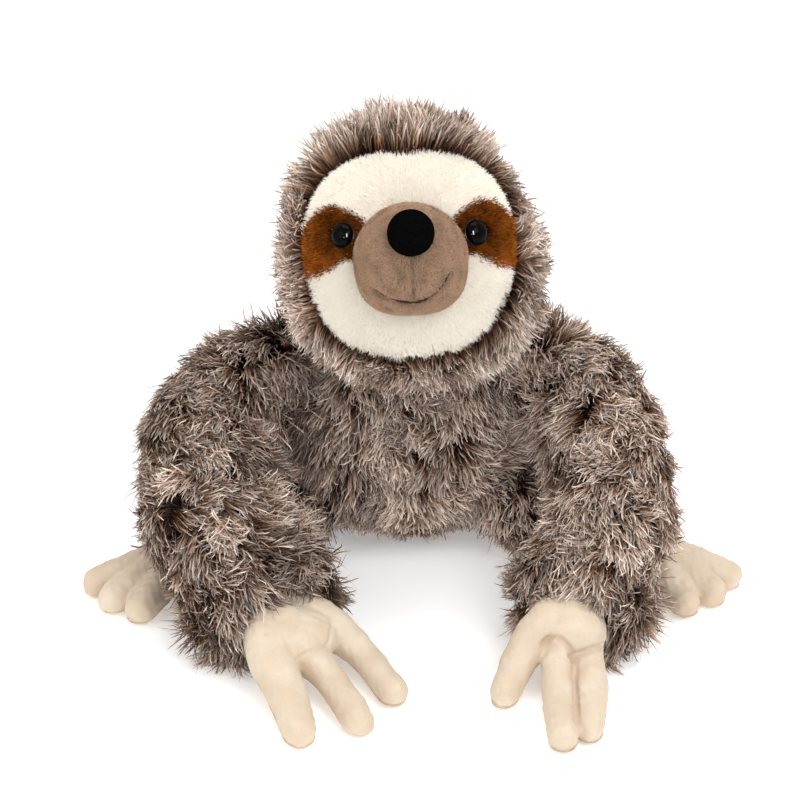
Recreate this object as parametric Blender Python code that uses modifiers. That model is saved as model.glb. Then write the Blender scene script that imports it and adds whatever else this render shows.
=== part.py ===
"""Long-haired plush sloth, sitting on its rump with both arms down in front of it.

Metres, +Z up. The toy faces -Y, X runs to the viewer's right, and the origin is the middle of the
flat rump face that it sits on. Left and right are the viewer's, as the toy faces them.

A cover is a shell as thick as its cloth and standing pile together, with its filling inside it.
Each limb, hand and foot ends in a round root in a ball seat, and flops there as a sewn one does.
"""

import math

import bmesh
import bpy
from mathutils import Euler, Vector

# Clearances
FIT_GAP = 0.0003
CUT_OVERRUN = 0.04
FLOOR_FLAT = 0.0005

# Cloth and seams
FUR_COVER = 0.012
LEG_COVER = 0.010
PAW_CLOTH = 0.0018
MUZZLE_CLOTH = 0.0030
FACE_CLOTH = 0.0050
SEAM_THICKNESS = 0.0016
SEAM_START = math.radians(127)
SEAM_REACH = math.radians(20)

# Torso
TORSO_HALF_WIDTH = 0.060
TORSO_HALF_DEPTH = 0.053
TORSO_HALF_HEIGHT = 0.058
TORSO_FULLNESS_SHARE = 0.80
TORSO_TAPER_SHARE = 0.10
RUMP_FLATTENING = 0.005

# Neck
NECK_RADIUS = 0.036
NECK_DROP = 0.024
NECK_FORWARD = 0.010

# Head
HEAD_HALF_WIDTH = 0.063
HEAD_HALF_DEPTH = 0.058
HEAD_HALF_HEIGHT = 0.062
HEAD_CHEEK_SHARE = 0.955
HEAD_TAPER_SHARE = 0.08
HEAD_RISE_SHARE = 1.15
HEAD_FORWARD = 0.023
HEAD_PITCH = math.radians(20)
HEAD_ROLL = math.radians(2.2)
HEAD_YAW = math.radians(1.0)

# Face
FACE_HALF_WIDTH = 0.0470
FACE_HALF_HEIGHT = 0.0450
FACE_SQUARENESS_SHARE = 2.35
FACE_POINTS = 40
PATCH_WIDTH = 0.048
# Places round an eye patch, out and up from the middle of the face, as shares of PATCH_WIDTH
PATCH_SHARES = (
    (0.40, 0.37), (0.54, 0.45), (0.67, 0.50), (0.79, 0.47), (0.90, 0.37),
    (1.02, 0.21), (1.06, 0.05), (1.00, -0.11), (0.84, -0.09), (0.69, -0.02),
    (0.58, 0.05), (0.44, 0.05), (0.36, 0.21),
)

# Muzzle and nose
MUZZLE_HALF_WIDTH = 0.0254
MUZZLE_HALF_HEIGHT = 0.0248
MUZZLE_HALF_DEPTH = 0.032
MUZZLE_FRONT = 0.080
MUZZLE_RISE = 0.001
NOSE_RADIUS = 0.0103
NOSE_RISE = 0.0120
NOSE_PROUD = 0.0010

# Mouth
THREAD_RADIUS = 0.0006
MOUTH_WIDTH = 0.0330
# Places along the smile from the middle of the muzzle, as shares of MOUTH_WIDTH
MOUTH_SHARES = (
    (-0.49, -0.35), (-0.35, -0.44), (-0.19, -0.51), (-0.02, -0.54), (0.15, -0.51),
    (0.29, -0.42), (0.40, -0.30), (0.49, -0.17),
)

# Eyes
EYE_RADIUS = 0.0055
EYE_DOME = 0.0046
EYE_RIM = 0.0008
EYE_OUT = 0.0293
EYE_UP = {"left": 0.0121, "right": 0.0107}
SHANK_RADIUS = 0.0020
SHANK_LENGTH = 0.0135
WASHER_RADIUS = 0.0062
WASHER_THICKNESS = 0.0016

# Arms
SHOULDER_HEIGHT = 0.082
SHOULDER_FORWARD = 0.004
SHOULDER_STANDOFF = 0.008
ARM_ROOT_RADIUS = 0.022
ARM_RADIUS = 0.0270
ARM_REACH = 0.122
ARM_SPREAD = 0.104
ARM_CLEARANCE = 0.003
CUFF_BACK = 0.005

# Legs
HIP_HEIGHT = 0.024
HIP_AZIMUTH = math.radians(30)
HIP_STANDOFF = 0.006
LEG_ROOT_RADIUS = 0.017
LEG_RADIUS = 0.019
LEG_SPREAD = 0.113
LEG_FORWARD = 0.060

# The arms pass over the legs
ARM_LIFT = 2 * LEG_RADIUS + ARM_CLEARANCE

# Hands and feet
HAND_ROOT_RADIUS = 0.0140
HAND_LENGTH = 0.076
FINGER_RADIUS = 0.0072
FOOT_ROOT_RADIUS = 0.0115
FOOT_LENGTH = 0.042
TOE_RADIUS = 0.0075

# An arm's bends after the shoulder: out as a share of ARM_SPREAD, forward of ARM_REACH, its
# underside's height of ARM_LIFT, thick of ARM_RADIUS
ARM_SHARES = {
    "left": (
        (0.79, 0.16, 1.33, 0.96), (0.95, 0.42, 1.08, 1.02), (0.91, 0.74, 0.55, 1.06),
        (0.70, 0.92, 0.00, 1.08), (0.59, 1.05, 0.00, 1.04),
    ),
    "right": (
        (0.79, 0.16, 1.33, 0.96), (0.905, 0.42, 1.08, 1.02), (0.915, 0.74, 0.55, 1.04),
        (0.77, 0.92, 0.00, 1.03), (0.74, 1.05, 0.02, 1.00),
    ),
}

# A leg's bends after the hip: out as a share of LEG_SPREAD, forward of LEG_FORWARD, thick of
# LEG_RADIUS
LEG_SHARES = {
    "left": ((0.76, 0.78, 1.00), (0.99, 1.06, 0.86)),
    "right": ((0.78, 0.74, 1.00), (1.03, 0.96, 0.86)),
}

# A finger's bends after the wrist: right and forward as shares of HAND_LENGTH, up as a share of
# the way from the wrist's height to the fingertip's, thick as a share of FINGER_RADIUS
FINGER_SHARES = {
    "left": (
        ((-0.02, 0.05, 0.00, 1.35), (-0.02, 0.35, 0.30, 1.50), (0.10, 0.65, 0.78, 1.25),
         (0.185, 0.925, 1.00, 1.06)),
        ((0.01, 0.06, 0.00, 1.35), (0.135, 0.285, 0.30, 1.50), (0.34, 0.475, 0.80, 1.00),
         (0.515, 0.815, 1.00, 1.00)),
        ((0.06, 0.03, 0.00, 1.35), (0.295, 0.10, 0.30, 1.42), (0.53, 0.23, 0.80, 1.00),
         (0.71, 0.53, 1.00, 0.97)),
    ),
    "right": (
        ((-0.05, 0.04, 0.00, 1.35), (-0.21, 0.205, 0.02, 1.26), (-0.35, 0.32, 0.62, 1.12),
         (-0.455, 0.535, 1.00, 0.94)),
        ((-0.015, 0.06, 0.00, 1.35), (-0.085, 0.215, 0.16, 1.46), (-0.15, 0.535, 0.74, 1.02),
         (-0.145, 0.975, 1.00, 0.94)),
        ((0.03, 0.05, 0.00, 1.35), (0.03, 0.20, 0.26, 1.42), (0.045, 0.585, 0.80, 0.98),
         (0.01, 0.885, 1.00, 0.90)),
    ),
}

# A toe's bends after the ankle: out and forward as shares of FOOT_LENGTH, up as for a finger,
# thick as a share of TOE_RADIUS
TOE_SHARES = (
    ((0.06, 0.03, 0.00, 1.24), (0.34, 0.12, 0.55, 1.24), (0.89, 0.34, 1.00, 1.00)),
    ((0.06, 0.06, 0.00, 1.24), (0.29, 0.32, 0.55, 1.24), (0.67, 0.69, 1.00, 1.00)),
    ((0.03, 0.07, 0.00, 1.24), (0.12, 0.42, 0.55, 1.24), (0.34, 0.91, 1.00, 1.00)),
)

# Counts of facets
BALL_SEGMENTS = 22
BALL_RINGS = 13
HOLLOW_SEGMENTS = 16
HOLLOW_RINGS = 10
SEAT_SEGMENTS = 20
SMALL_SEGMENTS = 16
LIMB_SIDES = 14
LIMB_HOLLOW_SIDES = 10
DIGIT_SIDES = 10
DIGIT_HOLLOW_SIDES = 6
DOME_STEPS = 3
HOLLOW_DOME_STEPS = 2
EYE_STEPS = 5
SPAN_STEPS = 2

SIDES = {"left": -1, "right": 1}

TORSO_CENTRE = Vector((0, 0, TORSO_HALF_HEIGHT - RUMP_FLATTENING))
TORSO_RADII = Vector((TORSO_HALF_WIDTH, TORSO_HALF_DEPTH, TORSO_HALF_HEIGHT))
NECK_PIVOT = Vector((0, -NECK_FORWARD, TORSO_CENTRE.z + TORSO_HALF_HEIGHT - NECK_DROP))
HEAD_RADII = Vector((HEAD_HALF_WIDTH, HEAD_HALF_DEPTH, HEAD_HALF_HEIGHT))
HEAD_CENTRE = NECK_PIVOT + Vector((0, -HEAD_FORWARD, HEAD_RISE_SHARE * HEAD_HALF_HEIGHT))
HEAD_TURN = Euler((-HEAD_PITCH, 0, HEAD_YAW)).to_matrix() @ Euler((0, -HEAD_ROLL, 0)).to_matrix()
MUZZLE_RADII = Vector((MUZZLE_HALF_WIDTH, MUZZLE_HALF_DEPTH, MUZZLE_HALF_HEIGHT))
MUZZLE_CENTRE = Vector((0, MUZZLE_HALF_DEPTH - MUZZLE_FRONT, MUZZLE_RISE))
GAP = Vector((FIT_GAP, FIT_GAP, FIT_GAP))


def clear_scene():
    for item in list(bpy.data.objects):
        bpy.data.objects.remove(item)


def new_collection(name):
    group = bpy.data.collections.new(name)
    bpy.context.scene.collection.children.link(group)
    return group


def thickness(size):
    """The same thickness along all three axes."""
    return Vector((size, size, size))


def material(name, colour, roughness):
    paint = bpy.data.materials.new(name)
    paint.use_nodes = True
    shader = paint.node_tree.nodes["Principled BSDF"]
    shader.inputs["Base Color"].default_value = (*colour, 1)
    shader.inputs["Roughness"].default_value = roughness
    shader.inputs["Metallic"].default_value = 0
    paint.diffuse_color = (*colour, 1)
    return paint


def add_pivot(name, place, parent=None, turn=None):
    """An empty on a joint's axis, which the moving pieces hang from."""
    pivot = bpy.data.objects.new(name, None)
    PARTS.objects.link(pivot)
    pivot.parent = parent
    pivot.location = place
    if turn is not None:
        pivot.rotation_euler = turn.to_euler()
    return pivot


def add_part(name, mesh, paint, parent=None, place=(0, 0, 0)):
    part = bpy.data.objects.new(name, mesh)
    PARTS.objects.link(part)
    part.parent = parent
    part.location = place
    mesh.materials.clear()
    mesh.materials.append(paint)
    mesh.shade_smooth()
    mesh.set_sharp_from_angle(angle=math.radians(50))
    return part


def add_cutter(name, mesh, parent=None, place=(0, 0, 0)):
    cutter = bpy.data.objects.new(name, mesh)
    CUTTERS.objects.link(cutter)
    cutter.parent = parent
    cutter.location = place
    cutter.hide_render = True
    cutter.display_type = "WIRE"
    return cutter


def combine(part, operation, *tools):
    """Boolean modifiers that join, cut or trim a part with each tool in turn."""
    for tool in tools:
        step = part.modifiers.new(tool.name, "BOOLEAN")
        step.operation = operation
        step.solver = "EXACT"
        step.object = tool


def aim(item, direction):
    """Turns an object's +Z along a direction."""
    item.rotation_euler = Vector(direction).to_track_quat("Z", "Y").to_euler()


def ball_mesh(name, radii, segments=BALL_SEGMENTS, rings=BALL_RINGS, shape=None):
    """A sphere scaled to three radii. The shape function may first move its unit points."""
    form = bmesh.new()
    bmesh.ops.create_uvsphere(form, u_segments=segments, v_segments=rings, radius=1)
    if shape:
        for vert in form.verts:
            vert.co = shape(vert.co)
    bmesh.ops.scale(form, vec=Vector(radii), verts=form.verts)
    mesh = bpy.data.meshes.new(name)
    form.to_mesh(mesh)
    form.free()
    return mesh


def rod_mesh(name, radius, low, high, segments):
    """A cylinder along Z from low to high."""
    form = bmesh.new()
    bmesh.ops.create_cone(form, cap_ends=True, segments=segments, radius1=radius,
                          radius2=radius, depth=high - low)
    bmesh.ops.translate(form, vec=(0, 0, (high + low) / 2), verts=form.verts)
    mesh = bpy.data.meshes.new(name)
    form.to_mesh(mesh)
    form.free()
    return mesh


def curve_mesh(name, curve):
    """The closed mesh that a curve draws, with its caps welded on."""
    drawn = bpy.data.objects.new(name, curve)
    CUTTERS.objects.link(drawn)
    bpy.context.view_layer.update()
    mesh = bpy.data.meshes.new_from_object(drawn.evaluated_get(
        bpy.context.evaluated_depsgraph_get()))
    bpy.data.objects.remove(drawn)
    form = bmesh.new()
    form.from_mesh(mesh)
    bmesh.ops.remove_doubles(form, verts=form.verts, dist=FIT_GAP / 30)
    bmesh.ops.recalc_face_normals(form, faces=form.faces)
    bmesh.ops.triangulate(form, faces=form.faces, quad_method="FIXED")
    form.to_mesh(mesh)
    form.free()
    return mesh


def smooth_path(points, steps):
    """Places on a smooth curve through the points, which are vectors of any length."""
    ends = [2 * points[0] - points[1], *points, 2 * points[-1] - points[-2]]
    path = []
    for before, start, end, after in zip(ends, ends[1:], ends[2:], ends[3:]):
        for step in range(steps):
            t = step / steps
            path.append(0.5 * (2 * start + (end - before) * t
                               + (2 * before - 5 * start + 4 * end - after) * t ** 2
                               + (3 * start - before - 3 * end + after) * t ** 3))
    path.append(points[-1])
    return path


def dome(centre, outward, radius, steps):
    """Places and radii that close a tube with a round end, from its rim to its tip."""
    turns = [math.radians(84) * step / steps for step in range(1, steps + 1)]
    return [((*(centre + outward * radius * math.sin(turn)), radius * math.cos(turn)))
            for turn in turns]


def tube_mesh(name, points, sides, thinner=0, round_start=False, round_end=False,
              steps=SPAN_STEPS):
    """A swelling tube. Each point is a place and a radius, and thinner comes off each radius."""
    dome_steps = HOLLOW_DOME_STEPS if thinner else DOME_STEPS
    path = [tuple(point) for point in smooth_path([Vector(point) for point in points], steps)]
    rings = [(*point[:3], point[3] - thinner) for point in path]
    if round_start:
        place = Vector(rings[0][:3])
        away = (place - Vector(rings[1][:3])).normalized()
        rings = dome(place, away, rings[0][3], dome_steps)[::-1] + rings
    if round_end:
        place = Vector(rings[-1][:3])
        away = (place - Vector(rings[-2][:3])).normalized()
        rings = rings + dome(place, away, rings[-1][3], dome_steps)
    widest = max(ring[3] for ring in rings)
    curve = bpy.data.curves.new(name, "CURVE")
    curve.dimensions = "3D"
    curve.bevel_depth = widest
    curve.bevel_resolution = (sides - 4) // 2
    curve.use_fill_caps = True
    spline = curve.splines.new("POLY")
    spline.points.add(len(rings) - 1)
    for knot, ring in zip(spline.points, rings):
        knot.co = (*ring[:3], 1)
        knot.radius = ring[3] / widest
    return curve_mesh(name, curve)


def hollow_mesh(name, radii, shape=None):
    """The coarser ball of a hollow, or of the filling in it."""
    return ball_mesh(name, radii, HOLLOW_SEGMENTS, HOLLOW_RINGS, shape)


def prism_mesh(name, outline, near, far):
    """A flat outline, across and up, made solid from near to far in front of the head's centre."""
    curve = bpy.data.curves.new(name, "CURVE")
    curve.dimensions = "2D"
    curve.fill_mode = "BOTH"
    curve.extrude = (far - near) / 2
    spline = curve.splines.new("POLY")
    spline.points.add(len(outline) - 1)
    for knot, (across, up) in zip(spline.points, outline):
        knot.co = (across, up, 0, 1)
    spline.use_cyclic_u = True
    mesh = curve_mesh(name, curve)
    mesh.transform(Euler((math.radians(90), 0, 0)).to_matrix().to_4x4())
    for vert in mesh.vertices:
        vert.co.y -= (far + near) / 2
    return mesh


def turned_part(name, profile, paint, steps, parent=None, closed=False):
    """A profile of radius and height, top to bottom down its outer side, turned about Z."""
    mesh = bpy.data.meshes.new(name)
    count = len(profile)
    edges = [(index, index + 1) for index in range(count - 1)]
    if closed:
        edges.append((count - 1, 0))
    mesh.from_pydata([(radius, 0, height) for radius, height in profile], edges, [])
    part = add_part(name, mesh, paint, parent)
    spin = part.modifiers.new("turn", "SCREW")
    spin.steps = steps
    spin.render_steps = steps
    spin.use_merge_vertices = True
    spin.merge_threshold = FIT_GAP / 30
    spin.use_smooth_shade = True
    return part


def clear_radius(radius, segments=SEAT_SEGMENTS):
    """The radius of a faceted seat or hole that stays FIT_GAP clear of a ball at any turn."""
    return (radius + FIT_GAP) / math.cos(math.pi / segments) ** 2


def seam_radii(root_radius):
    """Inner and outer radius of the folded seam round a limb's root."""
    inner = clear_radius(root_radius)
    return inner, inner + SEAM_THICKNESS


def seat_cutter(name, radius, parent=None, place=(0, 0, 0)):
    rings = SEAT_SEGMENTS // 2
    mesh = ball_mesh(name, thickness(clear_radius(radius)), SEAT_SEGMENTS, rings)
    return add_cutter(name, mesh, parent, place)


def seam_part(name, root_radius, pivot, direction, start):
    """The seam allowance round a limb's root: a band of doubled cloth, start round from its tip."""
    inner, outer = seam_radii(root_radius)
    turns = [start, start + SEAM_REACH]
    outside = [(outer * math.sin(turn), outer * math.cos(turn)) for turn in turns]
    inside = [(inner * math.sin(turn), inner * math.cos(turn)) for turn in reversed(turns)]
    seam = turned_part(name, outside + inside, SEAM_CLOTH, SEAT_SEGMENTS, pivot, closed=True)
    aim(seam, direction)
    return seam


def torso_point(unit):
    """Fills out the torso's shoulders and rump, and narrows it towards the neck."""
    round_share = math.sqrt(max(1 - unit.z ** 2, 0))
    full = round_share ** (TORSO_FULLNESS_SHARE - 1) if round_share > 0 else 1
    swell = full * (1 - TORSO_TAPER_SHARE * unit.z)
    return Vector((unit.x * swell, unit.y * swell, unit.z))


def torso_girth_share(height):
    """The torso's half width at a height, as a share of TORSO_HALF_WIDTH."""
    level = (height - TORSO_CENTRE.z) / TORSO_HALF_HEIGHT
    return (1 - level ** 2) ** (TORSO_FULLNESS_SHARE / 2) * (1 - TORSO_TAPER_SHARE * level)


def head_point(unit):
    """Thins the fur at the cheeks, and more towards the crown."""
    swell = HEAD_CHEEK_SHARE - HEAD_TAPER_SHARE * unit.z
    return Vector((unit.x * swell, unit.y, unit.z))


def seat_on_torso(side, azimuth, height, standoff):
    """A limb's pivot, stood off the torso, and the level direction out of the torso there."""
    girth = torso_girth_share(height)
    across = TORSO_HALF_WIDTH * girth * math.cos(azimuth)
    ahead = TORSO_HALF_DEPTH * girth * math.sin(azimuth)
    outward = Vector((across / TORSO_HALF_WIDTH ** 2, -ahead / TORSO_HALF_DEPTH ** 2, 0))
    outward.normalize()
    place = Vector((across, -ahead, height)) + outward * standoff
    return Vector((side * place.x, place.y, place.z)), Vector((side * outward.x, outward.y, 0))


def on_ball(radii, across, up):
    """The front point of an ellipsoid at a place across and up from its centre."""
    rest = 1 - (across / radii.x) ** 2 - (up / radii.z) ** 2
    return Vector((across, -radii.y * math.sqrt(rest), up))


def ball_normal(radii, place):
    return Vector(tuple(place[axis] / radii[axis] ** 2 for axis in range(3))).normalized()


def face_outline(grow):
    """A rounded square, FACE_SQUARENESS_SHARE being 2 for an ellipse and more for squarer."""
    outline = []
    for index in range(FACE_POINTS):
        turn = 2 * math.pi * index / FACE_POINTS
        across = abs(math.cos(turn)) ** (2 / FACE_SQUARENESS_SHARE)
        up = abs(math.sin(turn)) ** (2 / FACE_SQUARENESS_SHARE)
        outline.append((math.copysign(across, math.cos(turn)) * (FACE_HALF_WIDTH + grow),
                        math.copysign(up, math.sin(turn)) * (FACE_HALF_HEIGHT + grow)))
    return outline


def patch_outline(side, grow):
    """The outline of an eye patch, each point moved out from its middle by grow."""
    points = [Vector(share) * PATCH_WIDTH for share in PATCH_SHARES]
    loop = smooth_path([*points, points[0]], SPAN_STEPS)[:-1]
    middle = sum(loop, Vector((0, 0))) / len(loop)
    grown = [point + (point - middle).normalized() * grow for point in loop]
    return [(side * point.x, point.y) for point in grown]


def make_torso():
    floor = add_cutter("floor_below", rod_mesh("floor_below", CUT_OVERRUN * 8, -CUT_OVERRUN, 0,
                                               SEAT_SEGMENTS))
    hollow = TORSO_RADII - thickness(FUR_COVER)
    filling = hollow - GAP
    inner_neck = thickness(NECK_RADIUS - FUR_COVER)

    cover = add_part("torso_cover", ball_mesh("torso_cover", TORSO_RADII, shape=torso_point),
                     FUR, place=TORSO_CENTRE)
    neck = add_cutter("neck_dome", hollow_mesh("neck_dome", thickness(NECK_RADIUS)),
                      place=NECK_PIVOT)
    inside = add_cutter("torso_hollow", hollow_mesh("torso_hollow", hollow, torso_point),
                        place=TORSO_CENTRE)
    neck_inside = add_cutter("neck_hollow", hollow_mesh("neck_hollow", inner_neck),
                             place=NECK_PIVOT)
    combine(cover, "UNION", neck)
    combine(cover, "DIFFERENCE", inside, neck_inside, floor)

    stuffing = add_part("torso_stuffing",
                        hollow_mesh("torso_stuffing", filling, torso_point), STUFFING,
                        place=TORSO_CENTRE)
    stuffed_neck = add_cutter("neck_stuffing", hollow_mesh("neck_stuffing", inner_neck - GAP),
                              place=NECK_PIVOT)
    combine(stuffing, "UNION", stuffed_neck)
    return cover, stuffing, floor


def make_head():
    turner = add_pivot("neck_pivot", NECK_PIVOT)
    seam_part("neck_seam", NECK_RADIUS, turner, (0, 0, 1), math.radians(30))
    head = add_pivot("head_middle", HEAD_CENTRE - NECK_PIVOT, turner, HEAD_TURN)
    hollow = HEAD_RADII - thickness(FUR_COVER)
    panel_front = hollow + thickness(FACE_CLOTH)

    recess = seat_cutter("neck_recess", seam_radii(NECK_RADIUS)[1], turner)
    inside = add_cutter("head_hollow", ball_mesh("head_hollow", hollow), head)
    opening = add_cutter("face_opening", prism_mesh("face_opening", face_outline(FIT_GAP), 0,
                                                    HEAD_HALF_DEPTH + CUT_OVERRUN), head)
    outline = add_cutter("face_edge", prism_mesh("face_edge", face_outline(0), 0,
                                                 HEAD_HALF_DEPTH + CUT_OVERRUN), head)

    cover = add_part("head_cover", ball_mesh("head_cover", HEAD_RADII, shape=head_point), FUR,
                     head)
    combine(cover, "DIFFERENCE", inside, opening, recess)
    stuffing = add_part("head_stuffing", ball_mesh("head_stuffing", hollow - GAP), STUFFING, head)
    combine(stuffing, "DIFFERENCE", recess)

    panel = add_part("face_panel", ball_mesh("face_panel", panel_front), FACE, head)
    combine(panel, "INTERSECT", outline)
    combine(panel, "DIFFERENCE", inside)
    for side_name, side in SIDES.items():
        make_eye(side_name, side, head, panel, stuffing, inside, outline, panel_front)
    make_muzzle(head, panel_front)


def make_eye(side_name, side, head, panel, stuffing, inside, outline, panel_front):
    """An eye patch set into the face panel, and the eye that is locked through it."""
    far = HEAD_HALF_DEPTH + CUT_OVERRUN
    gap_name = f"patch_gap_{side_name}"
    edge_name = f"patch_edge_{side_name}"
    gap = add_cutter(gap_name, prism_mesh(gap_name, patch_outline(side, FIT_GAP), 0, far), head)
    edge = add_cutter(edge_name, prism_mesh(edge_name, patch_outline(side, 0), 0, far), head)
    combine(panel, "DIFFERENCE", gap)

    patch_name = f"eye_patch_{side_name}"
    patch = add_part(patch_name, ball_mesh(patch_name, panel_front), PATCH, head)
    combine(patch, "INTERSECT", outline, edge)
    combine(patch, "DIFFERENCE", inside)

    seat = on_ball(panel_front, side * EYE_OUT, EYE_UP[side_name])
    normal = ball_normal(panel_front, seat)
    eye_frame = add_pivot(f"eye_seat_{side_name}", seat + normal * FIT_GAP, head)
    aim(eye_frame, normal)

    hole_name = f"shank_hole_{side_name}"
    hole_radius = clear_radius(SHANK_RADIUS, SMALL_SEGMENTS)
    hole = add_cutter(hole_name, rod_mesh(hole_name, hole_radius, -CUT_OVERRUN, CUT_OVERRUN,
                                          SMALL_SEGMENTS), eye_frame)
    combine(patch, "DIFFERENCE", hole)

    turns = [math.radians(90) * step / EYE_STEPS for step in range(EYE_STEPS + 1)]
    round_height = EYE_DOME - EYE_RIM
    profile = [(EYE_RADIUS * math.sin(turn), EYE_RIM + round_height * math.cos(turn))
               for turn in turns]
    profile += [
        (EYE_RADIUS, 0),
        (SHANK_RADIUS, 0),
        (SHANK_RADIUS, SHANK_RADIUS / 2 - SHANK_LENGTH),
        (SHANK_RADIUS / 2, -SHANK_LENGTH),
        (0, -SHANK_LENGTH),
    ]
    turned_part(f"eye_{side_name}", profile, EYE, SMALL_SEGMENTS, eye_frame)

    # The washer lies flat behind the panel, clear of the panel's curve and of its flat facets.
    curve_depth = WASHER_RADIUS ** 2 / (2 * min(panel_front))
    facet_depth = max(panel_front) * 2 * (1 - math.cos(math.pi / BALL_SEGMENTS))
    top = -(FACE_CLOTH + curve_depth + facet_depth + 2 * FIT_GAP)
    low = top - WASHER_THICKNESS
    ring = [
        (WASHER_RADIUS - WASHER_THICKNESS / 4, top),
        (WASHER_RADIUS, top - WASHER_THICKNESS / 4),
        (WASHER_RADIUS, low),
        (hole_radius, low),
        (hole_radius, top),
    ]
    turned_part(f"eye_washer_{side_name}", ring, WASHER, SMALL_SEGMENTS, eye_frame, closed=True)
    pocket_name = f"washer_pocket_{side_name}"
    pocket_radius = clear_radius(WASHER_RADIUS, SMALL_SEGMENTS)
    pocket = add_cutter(pocket_name, rod_mesh(pocket_name, pocket_radius,
                                              -SHANK_LENGTH - FIT_GAP, 0, SMALL_SEGMENTS),
                        eye_frame)
    combine(stuffing, "DIFFERENCE", pocket)


def make_muzzle(head, panel_front):
    behind = add_cutter("behind_muzzle", ball_mesh("behind_muzzle", panel_front + GAP), head)
    hollow = MUZZLE_RADII - thickness(MUZZLE_CLOTH)
    inside = add_cutter("muzzle_hollow", hollow_mesh("muzzle_hollow", hollow), head, MUZZLE_CENTRE)
    cover = add_part("muzzle_cover", ball_mesh("muzzle_cover", MUZZLE_RADII), MUZZLE, head,
                     MUZZLE_CENTRE)
    combine(cover, "DIFFERENCE", inside, behind)
    stuffing = add_part("muzzle_stuffing", hollow_mesh("muzzle_stuffing", hollow - GAP), STUFFING,
                        head, MUZZLE_CENTRE)
    combine(stuffing, "DIFFERENCE", behind)

    seat = on_ball(MUZZLE_RADII, 0, NOSE_RISE)
    place = MUZZLE_CENTRE + seat + ball_normal(MUZZLE_RADII, seat) * NOSE_PROUD
    nose = add_part("nose", hollow_mesh("nose", thickness(NOSE_RADIUS)), NOSE, head,
                    place)
    under = add_cutter("under_nose", ball_mesh("under_nose", MUZZLE_RADII + GAP), head,
                       MUZZLE_CENTRE)
    combine(nose, "DIFFERENCE", under)

    lift = MUZZLE_RADII + thickness(THREAD_RADIUS) + 2 * GAP
    stitches = [(*on_ball(lift, across * MOUTH_WIDTH, up * MOUTH_WIDTH), THREAD_RADIUS)
                for across, up in MOUTH_SHARES]
    add_part("mouth_stitching", tube_mesh("mouth_stitching", stitches, 6, round_start=True,
                                          round_end=True), THREAD, head, MUZZLE_CENTRE)


def limb(name, points, pivot_place, cover_paint, cover_thickness, wrist_radius, pivot, floor):
    """A furry limb: its cover, its filling and the ball seat of the hand or foot at its end."""
    local = [(*(Vector(point[:3]) - pivot_place), point[3]) for point in points]
    wrist = Vector(local[-1][:3])
    along = (wrist - Vector(local[-2][:3])).normalized()
    thick_end = local[-1][3]
    local[-1] = (*(wrist - along * CUFF_BACK), thick_end)
    seat = seat_cutter(f"{name}_end_seat", wrist_radius, pivot, wrist)

    cover_name = f"{name}_cover"
    hollow_name = f"{name}_hollow"
    reach_past = local[:-1] + [(*wrist, thick_end)]
    reach_short = local[:-1] + [(*(wrist - 1.5 * along * CUFF_BACK), thick_end)]
    cover = add_part(cover_name, tube_mesh(cover_name, local, LIMB_SIDES, round_start=True),
                     cover_paint, pivot)
    hollow = add_cutter(hollow_name, tube_mesh(hollow_name, reach_past, LIMB_HOLLOW_SIDES,
                                               cover_thickness, round_start=True, steps=1),
                        pivot)
    combine(cover, "DIFFERENCE", hollow, seat, floor)
    stuffing_name = f"{name}_stuffing"
    stuffing = add_part(stuffing_name, tube_mesh(stuffing_name, reach_short, LIMB_HOLLOW_SIDES,
                                                 cover_thickness + FIT_GAP, round_start=True,
                                                 steps=1), STUFFING, pivot)
    combine(stuffing, "DIFFERENCE", seat)
    return wrist + pivot_place


def paw(name, root_radius, digits, place, parent, floor):
    """A hand or foot: a round root and three stuffed digits sewn as one cover."""
    pivot = add_pivot(f"{name}_pivot", place - parent.location, parent)
    cover = add_part(f"{name}_cover", ball_mesh(f"{name}_cover", thickness(root_radius),
                                                LIMB_SIDES, LIMB_SIDES // 2), PAW, pivot)
    stuffing = None
    hollows = []
    for index, points in enumerate(digits, start=1):
        local = [(*(Vector(point[:3]) - place), point[3]) for point in points]
        digit_name = f"{name}_digit_{index}"
        outer = add_cutter(digit_name, tube_mesh(digit_name, local, DIGIT_SIDES,
                                                 round_end=True), pivot)
        combine(cover, "UNION", outer)
        hollow_name = f"{name}_hollow_{index}"
        hollows.append(add_cutter(hollow_name, tube_mesh(hollow_name, local, DIGIT_HOLLOW_SIDES,
                                                         PAW_CLOTH, round_end=True), pivot))
        fill_name = f"{name}_fill_{index}"
        fill_mesh = tube_mesh(fill_name, local, DIGIT_HOLLOW_SIDES, PAW_CLOTH + FIT_GAP,
                              round_end=True)
        if stuffing is None:
            stuffing = add_part(f"{name}_stuffing", fill_mesh, STUFFING, pivot)
        else:
            combine(stuffing, "UNION", add_cutter(fill_name, fill_mesh, pivot))
    middle = Vector(digits[1][1][:3]) - place
    back = middle.normalized() * -(root_radius + FIT_GAP)
    hole_name = f"{name}_root_hole"
    hole = add_cutter(hole_name, tube_mesh(hole_name, [(*middle, root_radius / 2),
                                                       (*back, root_radius / 2)],
                                           DIGIT_HOLLOW_SIDES), pivot)
    combine(cover, "DIFFERENCE", *hollows, hole, floor)
    return pivot


def arm_points(side_name, side, shoulder):
    rows = [(*shoulder, ARM_ROOT_RADIUS)]
    for out, ahead, lift, thick in ARM_SHARES[side_name]:
        radius = thick * ARM_RADIUS
        rows.append((side * out * ARM_SPREAD, -ahead * ARM_REACH,
                     lift * ARM_LIFT + radius - FLOOR_FLAT, radius))
    return rows


def leg_points(side_name, side, hip):
    rows = [(*hip, LEG_ROOT_RADIUS)]
    for out, ahead, thick in LEG_SHARES[side_name]:
        radius = thick * LEG_RADIUS
        rows.append((side * out * LEG_SPREAD, -ahead * LEG_FORWARD, radius - FLOOR_FLAT, radius))
    return rows


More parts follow.
